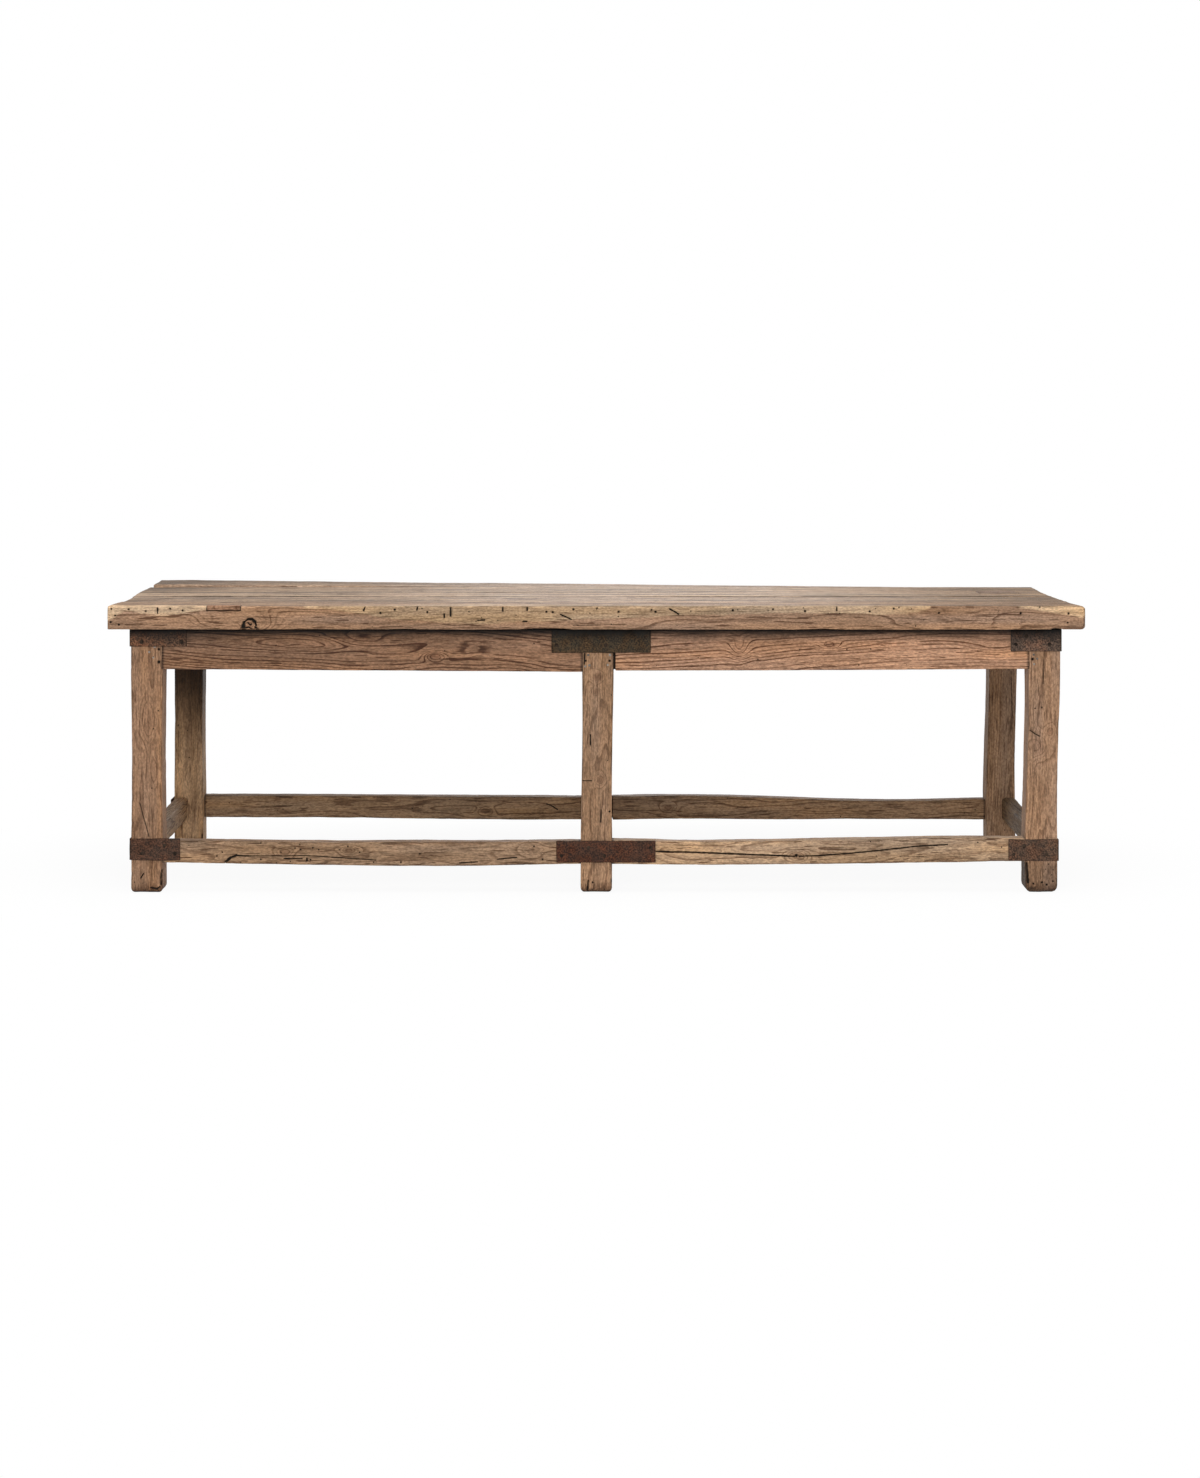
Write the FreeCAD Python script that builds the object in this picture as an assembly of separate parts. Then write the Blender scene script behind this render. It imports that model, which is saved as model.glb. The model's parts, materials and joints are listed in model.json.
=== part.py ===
import FreeCAD, Part
import math
import os

# Six-legged work table of old timber: a plank top on pegged aprons, foot-worn stretchers low between
# the legs, and iron straps nailed over the joints.
# +X runs along the table, -Y is its front and +Z is up. The origin lies on the floor under the middle
# of the top. All sizes are in millimetres.

V = FreeCAD.Vector

# Overall sizes
TOP_LENGTH = 2640.0
TOP_DEPTH = 900.0
TABLE_HEIGHT = 780.0
TOP_THICKNESS = 64.0
END_OVERHANG = 60.0
SIDE_OVERHANG = 25.0

# Legs
LEG_WIDTH = 86.0
LEG_DEPTH = 80.0
LEG_ARRIS = 3.0
LEG_WAIST = 2.5
LEG_UPRIGHT_MARGIN = 8.0
FOOT_WEAR = 13.0
MIDDLE_LEG_OFFSET = 6.0
FOOT_LEAN = {"left": 0.0, "middle": -4.0, "right": -8.0}

# Rails under the top
APRON_HEIGHT = 113.0
APRON_THICKNESS = 45.0
APRON_ARRIS = 2.0
CROSS_RAIL_WIDTH = 56.0
SHRINKAGE_GAP = 4.0
SHRUNK = ("apron_front_right", "stretcher_rear_right")

# Foot rails
STRETCHER_BASE = 79.0
STRETCHER_HEIGHT = 63.0
STRETCHER_THICKNESS = 50.0
END_STRETCHER_THICKNESS = 40.0
CROSS_STRETCHER_WIDTH = 52.0
STRETCHER_ARRIS = 4.0

# How far the edges of the old rails wander from straight, at even stations along them
APRON_WANDER = {
    ("front", "left"): (4.0, 0.0, -4.0),
    ("front", "right"): (-1.0, 1.0, 4.0),
    ("rear", "left"): (1.0, -2.0, 0.0),
    ("rear", "right"): (0.0, 2.0, -1.0),
}
STRETCHER_WANDER = {
    ("front", "left"): {"lower": (4.0, -4.0, -6.0, 0.0), "upper": (0.0, -5.0, -6.0, -2.0)},
    ("front", "right"): {"lower": (0.0, -3.0, 2.0, 8.0), "upper": (0.0, -3.0, 4.0, 5.0)},
    ("rear", "left"): {"lower": (3.0, 1.0, -3.0, -5.0), "upper": (5.0, 3.0, 1.0, -1.0)},
    ("rear", "right"): {"lower": (-5.0, -3.0, -4.0, -5.0), "upper": (0.0, 0.0, -11.0, -4.0)},
}
CROSS_STRETCHER_WANDER = {"lower": (2.0, -2.0, 2.0), "upper": (3.0, -1.0, 3.0)}

# Mortise and tenon joints
TENON_THICKNESS = 16.0
TENON_SHOULDER = 12.0
TENON_SPACING = 6.0
JOINT_CLEARANCE = 0.2

# Apron pegs, with their heights above the aprons' lower edge
PEG_RADIUS = 3.2
PEG_LENGTH = 52.0
PEG_RECESS = 3.0
PEG_FROM_SHOULDER = 10.5
PEG_LIFTS = {"left": (23.0, 58.0), "middle": (26.0,), "right": (31.0,)}

# Planks from front to rear, each with its share of the depth
PLANK_SHARES = {
    "plank_front": 32,
    "plank_second": 36,
    "plank_third": 30,
    "plank_fourth": 45,
    "plank_rear": 37,
}
PLANK_SEAM = 1.0
PLANK_ARRIS = 3.0
FRONT_EDGE_WEAR = 7.0
RIGHT_END_WEAR = 13.0
SECOND_PLANK_DROP = 1.0
FOURTH_PLANK_DROP = 0.6
REAR_PLANK_RISE = 8.0
REAR_PLANK_FALL = 16.0
REAR_EDGE_TAPER = 16.0

# Inset of each plank's ends from the full length, at its front edge, middle and rear edge
PLANK_INSETS = {
    "plank_front": {"left": (0.0, 6.0, 11.0), "right": (0.0, 6.0, 14.0)},
    "plank_second": {"left": (13.0, 17.0, 14.0), "right": (16.0, 24.0, 28.0)},
    "plank_third": {"left": (11.0, 8.0, 5.0), "right": (30.0, 34.0, 35.0)},
    "plank_fourth": {"left": (4.0, 2.0, 0.0), "right": (34.0, 32.0, 30.0)},
    "plank_rear": {"left": (11.0, 8.0, 4.0), "right": (31.0, 28.0, 27.0)},
}

# Dowels
PLANK_DOWEL_RADIUS = 5.0
PLANK_DOWEL_LENGTH = 80.0
PLANK_DOWEL_COUNT = 6
PLANK_DOWEL_END_INSET = 200.0
TOP_DOWEL_RADIUS = 6.0
TOP_DOWEL_IN_PLANK = 40.0
TOP_DOWEL_IN_RAIL = 50.0
TOP_DOWEL_INSET = 11.0

# Repair blocks let into the top
EDGE_PATCH_LENGTH = 89.0
EDGE_PATCH_HEIGHT = 12.0
EDGE_PATCH_DEPTH = 26.0
EDGE_PATCH_FROM_END = 270.0
SEAM_PATCH_LENGTH = 110.0
SEAM_PATCH_WIDTH = 96.0
SEAM_PATCH_THICKNESS = 14.0
SEAM_PATCH_FROM_END = 110.0

# Hollow worn into the lower front edge of the front plank, as far in as the apron
EDGE_HOLLOW_LENGTH = 140.0
EDGE_HOLLOW_DEPTH = 5.0
EDGE_HOLLOW_X = -135.0

# Iron straps. Each corner strap has an arm along the front or rear and a shorter one round the end.
STRAP_THICKNESS = 4.0
STRAP_CORNER = 1.5
STRAP_BEND = 6.0
END_ARM_LENGTH = 120.0
UPPER_ARM_LENGTH = {"front_left": 152.0, "front_right": 135.0, "rear_left": 140.0, "rear_right": 138.0}
UPPER_STRAP_HEIGHT = {"front_left": 48.0, "front_right": 61.0, "rear_left": 58.0, "rear_right": 56.0}
LOWER_ARM_LENGTH = {"front_left": 134.0, "front_right": 133.0, "rear_left": 137.0, "rear_right": 140.0}
LOWER_STRAP_HEIGHT = 59.0
LOWER_STRAP_LIFT = {
    "front_left": 10.0,
    "front_middle": 4.0,
    "front_right": 8.0,
    "rear_left": 7.0,
    "rear_middle": 2.0,
    "rear_right": -5.0,
}
MIDDLE_STRAP_LENGTH = 269.0
UPPER_MIDDLE_STRAP_HEIGHT = 65.0
UPPER_MIDDLE_STRAP_OFFSET = 9.0
LOWER_MIDDLE_STRAP_OFFSET = 26.0

# Forged nails
NAIL_HEAD_RADIUS = 5.0
NAIL_TIP_RADIUS = 2.0
NAIL_HEAD_HEIGHT = 2.4
NAIL_SHANK = 4.0
NAIL_LENGTH = 28.0
NAIL_SIDES = 8
NAIL_END_INSET = 14.0
NAIL_CORNER_INSET = 30.0
NAIL_PAIR_PITCH = 28.0
END_NAIL_INSET = 32.0
NAIL_STAGGER = 11.0

# Sizes worked out from those above
FRAME_LENGTH = TOP_LENGTH - 2 * END_OVERHANG
FRAME_DEPTH = TOP_DEPTH - 2 * SIDE_OVERHANG
HALF_LENGTH = FRAME_LENGTH / 2
HALF_DEPTH = FRAME_DEPTH / 2
TOP_FRONT = -TOP_DEPTH / 2
TOP_END = TOP_LENGTH / 2
LEG_HEIGHT = TABLE_HEIGHT - TOP_THICKNESS
APRON_BASE = LEG_HEIGHT - APRON_HEIGHT
STRETCHER_TOP = STRETCHER_BASE + STRETCHER_HEIGHT
SIDES = ("front", "rear")
PLACES = ("left", "middle", "right")
HALVES = {"left": ("left", "middle"), "right": ("middle", "right")}
SAME = 0.01

solids = {}
cutters = {}


def cut_later(name, tool):
    """Notes a tool that is taken out of a piece once every piece is laid out."""
    cutters.setdefault(name, []).append(tool)


def reached_by(tool, names):
    """The named pieces whose boxes the tool reaches."""
    return [name for name in names if solids[name].BoundBox.intersect(tool.BoundBox)]


def block(corner, opposite):
    """A box between two opposite corners, given in any order."""
    low = [min(pair) for pair in zip(corner, opposite)]
    high = [max(pair) for pair in zip(corner, opposite)]
    return Part.makeBox(*[h - l for l, h in zip(low, high)], V(*low))


def grown(corner, opposite, by):
    """A box that is larger than block() makes it, by the same amount on every side."""
    low = [min(pair) - by for pair in zip(corner, opposite)]
    high = [max(pair) + by for pair in zip(corner, opposite)]
    return block(low, high)


def ease(shape, radius, chosen):
    """Rounds the edges whose own boxes are chosen."""
    return shape.makeFillet(radius, [edge for edge in shape.Edges if chosen(edge.BoundBox)])


def line(start, end):
    """A straight edge."""
    return Part.LineSegment(start, end).toShape()


def smooth_edge(points):
    """A straight edge through two points, or one smooth curve through more."""
    if len(points) == 2:
        return line(*points)
    curve = Part.BSplineCurve()
    curve.interpolate(points)
    return curve.toShape()


# Legs


def leg_faces(side, place):
    """The x of a leg's left and right faces and the y of its front and rear faces, at its head."""
    centre = {
        "left": -HALF_LENGTH + LEG_WIDTH / 2,
        "middle": MIDDLE_LEG_OFFSET,
        "right": HALF_LENGTH - LEG_WIDTH / 2,
    }[place]
    front = -HALF_DEPTH if side == "front" else HALF_DEPTH - LEG_DEPTH
    return centre - LEG_WIDTH / 2, centre + LEG_WIDTH / 2, front, front + LEG_DEPTH


def leg_edge(x, lean, waist):
    """One edge of a leg seen from the front, upright where the rails join it and drawn in between them."""
    strap_top = STRETCHER_BASE + max(LOWER_STRAP_LIFT.values()) + LOWER_STRAP_HEIGHT
    low = strap_top + LEG_UPRIGHT_MARGIN
    high = APRON_BASE - LEG_UPRIGHT_MARGIN
    third = (high - low) / 3
    between = Part.BezierCurve()
    between.setPoles([
        V(x + lean, 0, low),
        V(x + lean + waist, 0, low + third),
        V(x + waist, 0, high - third),
        V(x, 0, high),
    ])
    return [
        line(V(x + lean, 0, 0), V(x + lean, 0, low)),
        between.toShape(),
        line(V(x, 0, high), V(x, 0, LEG_HEIGHT)),
    ]


def make_leg(side, place):
    """A leg with soft arrises and a foot that wear has rounded."""
    left, right, front, _ = leg_faces(side, place)
    lean = FOOT_LEAN[place]
    outline = Part.Wire(Part.__sortEdges__([
        *leg_edge(left, lean, LEG_WAIST),
        *leg_edge(right, lean, -LEG_WAIST),
        line(V(left + lean, 0, 0), V(right + lean, 0, 0)),
        line(V(left, 0, LEG_HEIGHT), V(right, 0, LEG_HEIGHT)),
    ]))
    leg = Part.Face(outline).extrude(V(0, LEG_DEPTH, 0))
    leg.translate(V(0, front, 0))
    leg = ease(leg, LEG_ARRIS, lambda box: box.ZLength > SAME and box.YLength < SAME)
    return ease(leg, FOOT_WEAR, lambda box: box.ZMax < SAME)


for side in SIDES:
    for place in PLACES:
        solids[f"leg_{side}_{place}"] = make_leg(side, place)
LEGS = list(solids)


# Rails and their joints


def rail_blank(length, thickness, lower, upper, arris):
    """A rail along +X from the origin, between the heights of its edges at even stations."""
    def stations(heights):
        return [V(length * i / (len(heights) - 1), 0, height) for i, height in enumerate(heights)]

    low, high = stations(lower), stations(upper)
    outline = Part.Wire([
        smooth_edge(low),
        line(low[-1], high[-1]),
        smooth_edge(high[::-1]),
        line(high[0], low[0]),
    ])
    rail = Part.Face(outline).extrude(V(0, thickness, 0))
    return ease(rail, arris, lambda box: box.XLength > length - SAME)


def wandering(height, offsets):
    """The heights of an edge at its stations."""
    return [height + offset for offset in offsets]


def add_rail(name, rail, tenons):
    """Keeps a rail with its tenons, and notes the mortises in the legs that they enter."""
    for leg, corner, opposite in tenons:
        rail = rail.fuse(block(corner, opposite))
        cut_later(leg, grown(corner, opposite, JOINT_CLEARANCE))
    solids[name] = rail.removeSplitter()


def long_rail(name, side, places, shoulders, thickness, cross_thickness, lower, upper, arris):
    """A rail along the front or the rear between two legs, flush with their outer faces.

    shoulders are the x of the two leg faces that it meets. A shrunk rail stands off from the first.
    """
    face = -HALF_DEPTH if side == "front" else HALF_DEPTH - thickness
    start = shoulders[0] + (SHRINKAGE_GAP if name in SHRUNK else 0.0)
    rail = rail_blank(shoulders[1] - start, thickness, lower, upper, arris)
    rail.translate(V(start, face, 0))
    cheek = face + (thickness - TENON_THICKNESS) / 2
    corner_reach = LEG_WIDTH - (cross_thickness + TENON_THICKNESS) / 2 - TENON_SPACING
    middle_reach = (LEG_WIDTH - TENON_SPACING) / 2
    tenons = []
    for place, root, shoulder, way, end in (
        (places[0], start, shoulders[0], -1, 0),
        (places[1], shoulders[1], shoulders[1], 1, -1),
    ):
        tip = shoulder + way * (middle_reach if place == "middle" else corner_reach)
        tenons.append((
            f"leg_{side}_{place}",
            (root, cheek, lower[end] + TENON_SHOULDER),
            (tip, cheek + TENON_THICKNESS, upper[end] - TENON_SHOULDER),
        ))
    add_rail(name, rail, tenons)


def cross_rail(name, place, lean, thickness, long_thickness, lower, upper, arris):
    """A rail from a front leg to the rear one, flush outside at the table's ends or central on the legs."""
    left, right, _, start = leg_faces("front", place)
    end = leg_faces("rear", place)[2]
    x = lean + {"left": left, "middle": (left + right - thickness) / 2, "right": right - thickness}[place]
    rail = rail_blank(end - start, thickness, lower, upper, arris)
    rail.rotate(V(0, 0, 0), V(0, 0, 1), 90)
    rail.translate(V(x + thickness, start, 0))
    cheek = x + (thickness - TENON_THICKNESS) / 2
    reach = LEG_DEPTH - (long_thickness + TENON_THICKNESS) / 2 - TENON_SPACING
    low = lower[0] + TENON_SHOULDER
    high = upper[0] - TENON_SHOULDER
    add_rail(name, rail, [
        (f"leg_front_{place}", (cheek, start, low), (cheek + TENON_THICKNESS, start - reach, high)),
        (f"leg_rear_{place}", (cheek, end, low), (cheek + TENON_THICKNESS, end + reach, high)),
    ])


for side in SIDES:
    for half, places in HALVES.items():
        heads = leg_faces(side, places[0])[1], leg_faces(side, places[1])[0]
        feet = heads[0] + FOOT_LEAN[places[0]], heads[1] + FOOT_LEAN[places[1]]
        long_rail(
            f"apron_{side}_{half}", side, places, heads, APRON_THICKNESS, APRON_THICKNESS,
            wandering(APRON_BASE, APRON_WANDER[side, half]), (LEG_HEIGHT, LEG_HEIGHT), APRON_ARRIS,
        )
        wander = STRETCHER_WANDER[side, half]
        long_rail(
            f"stretcher_{side}_{half}", side, places, feet, STRETCHER_THICKNESS, END_STRETCHER_THICKNESS,
            wandering(STRETCHER_BASE, wander["lower"]), wandering(STRETCHER_TOP, wander["upper"]),
            STRETCHER_ARRIS,
        )
for place in PLACES:
    middle = place == "middle"
    cross_rail(
        "cross_rail_middle" if middle else f"apron_end_{place}", place, 0.0,
        CROSS_RAIL_WIDTH if middle else APRON_THICKNESS, APRON_THICKNESS,
        (APRON_BASE, APRON_BASE), (LEG_HEIGHT, LEG_HEIGHT), APRON_ARRIS,
    )
    cross_rail(
        "stretcher_cross_middle" if middle else f"stretcher_end_{place}", place, FOOT_LEAN[place],
        CROSS_STRETCHER_WIDTH if middle else END_STRETCHER_THICKNESS, STRETCHER_THICKNESS,
        wandering(STRETCHER_BASE, CROSS_STRETCHER_WANDER["lower"]),
        wandering(STRETCHER_TOP, CROSS_STRETCHER_WANDER["upper"]), STRETCHER_ARRIS,
    )
RAILS = [name for name in solids if name not in LEGS]
APRONS = [name for name in RAILS if name.startswith("apron")]
TOP_BEARERS = ["apron_end_left", "cross_rail_middle", "apron_end_right"]


# Planks of the top


PLANKS = list(PLANK_SHARES)
plank_edges = {}
seams = []
edge = TOP_FRONT
for name, share in PLANK_SHARES.items():
    near = edge if name == PLANKS[0] else edge + PLANK_SEAM / 2
    edge += TOP_DEPTH * share / sum(PLANK_SHARES.values())
    far = edge if name == PLANKS[-1] else edge - PLANK_SEAM / 2
    plank_edges[name] = near, far
    seams.append(edge)
seams.pop()


def plank_blank(name, top, taper=0.0):
    """A plank up to a height, with curved ends. Its rear edge comes forward by the taper at the right."""
    near, far = plank_edges[name]
    rows = near, (near + far) / 2, far
    left = [V(-TOP_END + inset, y, LEG_HEIGHT) for inset, y in zip(PLANK_INSETS[name]["left"], rows)]
    rows = near, (near + far - taper) / 2, far - taper
    right = [V(TOP_END - inset, y, LEG_HEIGHT) for inset, y in zip(PLANK_INSETS[name]["right"], rows)]
    outline = Part.Wire([
        line(left[0], right[0]),
        smooth_edge(right),
        line(right[-1], left[-1]),
        smooth_edge(left[::-1]),
    ])
    return Part.Face(outline).extrude(V(0, 0, top - LEG_HEIGHT))


def eased_top(plank, lowest):
    """A plank with the arrises softened round its upper face, which nowhere lies below the height given."""
    return ease(plank, PLANK_ARRIS, lambda box: box.ZMin > lowest - SAME)


# The front plank, with its right end and its front arris worn round
plank = plank_blank("plank_front", TABLE_HEIGHT)
plank = ease(plank, RIGHT_END_WEAR, lambda box: box.XMin > 0 and box.ZLength < SAME)
plank = ease(
    plank, FRONT_EDGE_WEAR,
    lambda box: box.XLength > TOP_END and box.ZMin > TABLE_HEIGHT - SAME and box.YMax < TOP_FRONT + SAME,
)
solids["plank_front"] = plank

# The flat planks behind it
for name, drop in (
    ("plank_second", SECOND_PLANK_DROP),
    ("plank_third", 0.0),
    ("plank_fourth", FOURTH_PLANK_DROP),
):
    solids[name] = eased_top(plank_blank(name, TABLE_HEIGHT - drop), TABLE_HEIGHT - drop)

# The rear plank, sawn thicker at its left end than at its right
high = TABLE_HEIGHT + REAR_PLANK_RISE
low = TABLE_HEIGHT - REAR_PLANK_FALL
waste = Part.Face(Part.makePolygon([
    V(-TOP_END, TOP_FRONT, high),
    V(TOP_END, TOP_FRONT, low),
    V(TOP_END, TOP_FRONT, high),
    V(-TOP_END, TOP_FRONT, high),
]))
plank = plank_blank("plank_rear", high, REAR_EDGE_TAPER).cut(waste.extrude(V(0, TOP_DEPTH, 0)))
solids["plank_rear"] = eased_top(plank, low)

# The hollow in the front plank's lower edge is a shallow slice of a wide cylinder
hollow_radius = (EDGE_HOLLOW_LENGTH ** 2 / 4 + EDGE_HOLLOW_DEPTH ** 2) / (2 * EDGE_HOLLOW_DEPTH)
hollow_centre = V(EDGE_HOLLOW_X, TOP_FRONT, LEG_HEIGHT + EDGE_HOLLOW_DEPTH - hollow_radius)
cut_later("plank_front", Part.makeCylinder(hollow_radius, SIDE_OVERHANG, hollow_centre, V(0, 1, 0)))


def let_in(name, hosts, corner, opposite):
    """A repair block let into planks."""
    solids[name] = block(corner, opposite)
    for host in hosts:
        cut_later(host, grown(corner, opposite, JOINT_CLEARANCE))


patch_start = -TOP_END + EDGE_PATCH_FROM_END
let_in(
    "edge_patch", ["plank_front"],
    (patch_start, TOP_FRONT, TABLE_HEIGHT - EDGE_PATCH_HEIGHT),
    (patch_start + EDGE_PATCH_LENGTH, TOP_FRONT + EDGE_PATCH_DEPTH, TABLE_HEIGHT),
)
solids["edge_patch"] = ease(
    solids["edge_patch"], FRONT_EDGE_WEAR,
    lambda box: box.ZMin > TABLE_HEIGHT - SAME and box.YMax < TOP_FRONT + SAME,
)
patch_end = TOP_END - SEAM_PATCH_FROM_END
patch_seam = plank_edges["plank_fourth"][0] - PLANK_SEAM / 2
let_in(
    "seam_patch", ["plank_third", "plank_fourth"],
    (patch_end - SEAM_PATCH_LENGTH, patch_seam - SEAM_PATCH_WIDTH / 2, TABLE_HEIGHT - SEAM_PATCH_THICKNESS),
    (patch_end, patch_seam + SEAM_PATCH_WIDTH / 2, TABLE_HEIGHT),
)


# Dowels and pegs


def add_pins(name, hosts, radius, places, recess=0.0):
    """A group of equal round pins and their holes. places holds each pin's mouth, way in and depth."""
    pins = []
    for mouth, way, depth in places:
        pins.append(Part.makeCylinder(radius, depth - recess, mouth + way * recess, way))
        hole = Part.makeCylinder(radius + JOINT_CLEARANCE, depth + JOINT_CLEARANCE, mouth, way)
        for host in reached_by(hole, hosts):
            cut_later(host, hole)
    solids[name] = Part.makeCompound(pins)


dowels = []
run = TOP_LENGTH - 2 * PLANK_DOWEL_END_INSET
for seam in seams:
    for i in range(PLANK_DOWEL_COUNT):
        x = run * (i / (PLANK_DOWEL_COUNT - 1) - 0.5)
        mouth = V(x, seam - PLANK_DOWEL_LENGTH / 2, LEG_HEIGHT + TOP_THICKNESS / 2)
        dowels.append((mouth, V(0, 1, 0), PLANK_DOWEL_LENGTH))
add_pins("plank_dowels", PLANKS, PLANK_DOWEL_RADIUS, dowels)

dowels = []
for bearer in TOP_BEARERS:
    box = solids[bearer].BoundBox
    x = {
        "apron_end_left": box.XMax - TOP_DOWEL_INSET,
        "cross_rail_middle": (box.XMin + box.XMax) / 2,
        "apron_end_right": box.XMin + TOP_DOWEL_INSET,
    }[bearer]
    for near, far in plank_edges.values():
        y = (max(near, LEG_DEPTH - HALF_DEPTH) + min(far, HALF_DEPTH - LEG_DEPTH)) / 2
        mouth = V(x, y, LEG_HEIGHT - TOP_DOWEL_IN_RAIL)
        dowels.append((mouth, V(0, 0, 1), TOP_DOWEL_IN_RAIL + TOP_DOWEL_IN_PLANK))
add_pins("top_dowels", PLANKS + TOP_BEARERS, TOP_DOWEL_RADIUS, dowels)

pegs = []
for side in SIDES:
    for place in PLACES:
        left, right, front, rear = leg_faces(side, place)
        mouth_y, way = (front, V(0, 1, 0)) if side == "front" else (rear, V(0, -1, 0))
        for lift in PEG_LIFTS[place]:
            z = APRON_BASE + lift
            if place != "left":
                pegs.append((V(left + PEG_FROM_SHOULDER, mouth_y, z), way, PEG_LENGTH))
            if place != "right":
                pegs.append((V(right - PEG_FROM_SHOULDER, mouth_y, z), way, PEG_LENGTH))
            if place != "middle":
                mouth_x, inwards = (left, V(1, 0, 0)) if place == "left" else (right, V(-1, 0, 0))
                y = rear - PEG_FROM_SHOULDER if side == "front" else front + PEG_FROM_SHOULDER
                pegs.append((V(mouth_x, y, z), inwards, PEG_LENGTH))
add_pins("apron_pegs", LEGS + APRONS, PEG_RADIUS, pegs, PEG_RECESS)


# Straps and their nails


def ring(radius, y):
    """A closed polygon about the Y axis."""
    turn = 2 * math.pi / NAIL_SIDES
    points = [V(radius * math.cos(i * turn), y, radius * math.sin(i * turn)) for i in range(NAIL_SIDES)]
    return Part.makePolygon([*points, points[0]])


def square_rod(half, length):
    """A square rod from the origin along +Y."""
    return block((-half, 0, -half), (half, length, half))


def turned(shape, facing, point):
    """A copy of a shape that was made for the front, turned to face another side and moved to a point."""
    copy = shape.copy()
    copy.rotate(V(0, 0, 0), V(0, 0, 1), {"front": 0, "rear": 180, "left": -90, "right": 90}[facing])
    copy.translate(point)
    return copy


ROSE_HEAD = Part.makeLoft([ring(NAIL_HEAD_RADIUS, 0), ring(NAIL_TIP_RADIUS, -NAIL_HEAD_HEIGHT)], True, True)
NAIL = ROSE_HEAD.fuse(square_rod(NAIL_SHANK / 2, NAIL_LENGTH))
NAIL_HOLE = square_rod(NAIL_SHANK / 2 + JOINT_CLEARANCE, NAIL_LENGTH + JOINT_CLEARANCE)
nails = []


def drive_nail(strap, facing, point):
    """Drives a nail through a strap into the timber behind it."""
    nails.append(turned(NAIL, facing, point))
    hole = turned(NAIL_HOLE, facing, point)
    cut_later(strap, hole)
    for host in reached_by(hole, LEGS + RAILS):
        cut_later(host, hole)


def nail_height(low, high, i):
    """Nails step below and above a strap's middle by turns."""
    return (low + high) / 2 + (NAIL_STAGGER if i % 2 else -NAIL_STAGGER)


def corner_strap(name, side, place, outer, arm, low, high):
    """An iron angle round the outer corner of a leg, nailed to the leg and to both its rails."""
    outward = -1 if place == "left" else 1
    toward = -1 if side == "front" else 1
    face = toward * HALF_DEPTH
    skin_x, skin_y = outer + outward * STRAP_THICKNESS, face + toward * STRAP_THICKNESS
    tip_x, tip_y = outer - outward * arm, face - toward * END_ARM_LENGTH
    long_arm = block((tip_x, face, low), (skin_x, skin_y, high))
    end_arm = block((outer, tip_y, low), (skin_x, skin_y, high))
    strap = long_arm.fuse(end_arm).removeSplitter()
    strap = ease(
        strap, STRAP_BEND,
        lambda box: box.ZLength > SAME and abs(box.XMin - skin_x) < SAME and abs(box.YMin - skin_y) < SAME,
    )

    def at_tip(box):
        on_long_tip = box.XLength < SAME and abs(box.XMin - tip_x) < SAME
        on_end_tip = box.YLength < SAME and abs(box.YMin - tip_y) < SAME
        return box.ZLength < SAME and (on_long_tip or on_end_tip)

    solids[name] = ease(strap, STRAP_CORNER, at_tip)
    last = arm - NAIL_END_INSET
    for i, distance in enumerate((NAIL_CORNER_INSET, last - NAIL_PAIR_PITCH, last)):
        drive_nail(name, side, V(outer - outward * distance, skin_y, nail_height(low, high, i)))
    for i, distance in enumerate((NAIL_CORNER_INSET, END_ARM_LENGTH - END_NAIL_INSET)):
        drive_nail(name, place, V(skin_x, face - toward * distance, nail_height(low, high, i + 1)))


def middle_strap(name, side, leg, offset, low, high):
    """A flat strap across a middle leg and the two rails that meet on it, nailed to all three."""
    toward = -1 if side == "front" else 1
    face = toward * HALF_DEPTH
    skin = face + toward * STRAP_THICKNESS
    centre = leg + offset
    half = MIDDLE_STRAP_LENGTH / 2
    strap = block((centre - half, face, low), (centre + half, skin, high))
    solids[name] = ease(strap, STRAP_CORNER, lambda box: box.XLength < SAME and box.ZLength < SAME)
    outer = half - NAIL_END_INSET
    inner = LEG_WIDTH / 4
    for i, x in enumerate((centre - outer, leg - inner, leg + inner, centre + outer)):
        drive_nail(name, side, V(x, skin, nail_height(low, high, i)))


for side in SIDES:
    for place in PLACES:
        key = f"{side}_{place}"
        upper, lower = f"strap_upper_{key}", f"strap_lower_{key}"
        low = STRETCHER_BASE + LOWER_STRAP_LIFT[key]
        high = low + LOWER_STRAP_HEIGHT
        if place == "middle":
            middle_strap(
                upper, side, MIDDLE_LEG_OFFSET, UPPER_MIDDLE_STRAP_OFFSET,
                LEG_HEIGHT - UPPER_MIDDLE_STRAP_HEIGHT, LEG_HEIGHT,
            )
            foot = MIDDLE_LEG_OFFSET + FOOT_LEAN[place]
            middle_strap(lower, side, foot, LOWER_MIDDLE_STRAP_OFFSET, low, high)
        else:
            outer = leg_faces(side, place)[0 if place == "left" else 1]
            corner_strap(
                upper, side, place, outer, UPPER_ARM_LENGTH[key],
                LEG_HEIGHT - UPPER_STRAP_HEIGHT[key], LEG_HEIGHT,
            )
            corner_strap(lower, side, place, outer + FOOT_LEAN[place], LOWER_ARM_LENGTH[key], low, high)
solids["strap_nails"] = Part.makeCompound(nails)

# Cut the joints and write the pieces
os.makedirs("parts", exist_ok=True)
for name, solid in solids.items():
    finished = solid.cut(cutters[name]) if name in cutters else solid
    finished.exportStep(f"parts/{name}.step")
print(len(solids), "pieces written")
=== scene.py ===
import itertools
import json
import math
from dataclasses import dataclass, field

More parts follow.
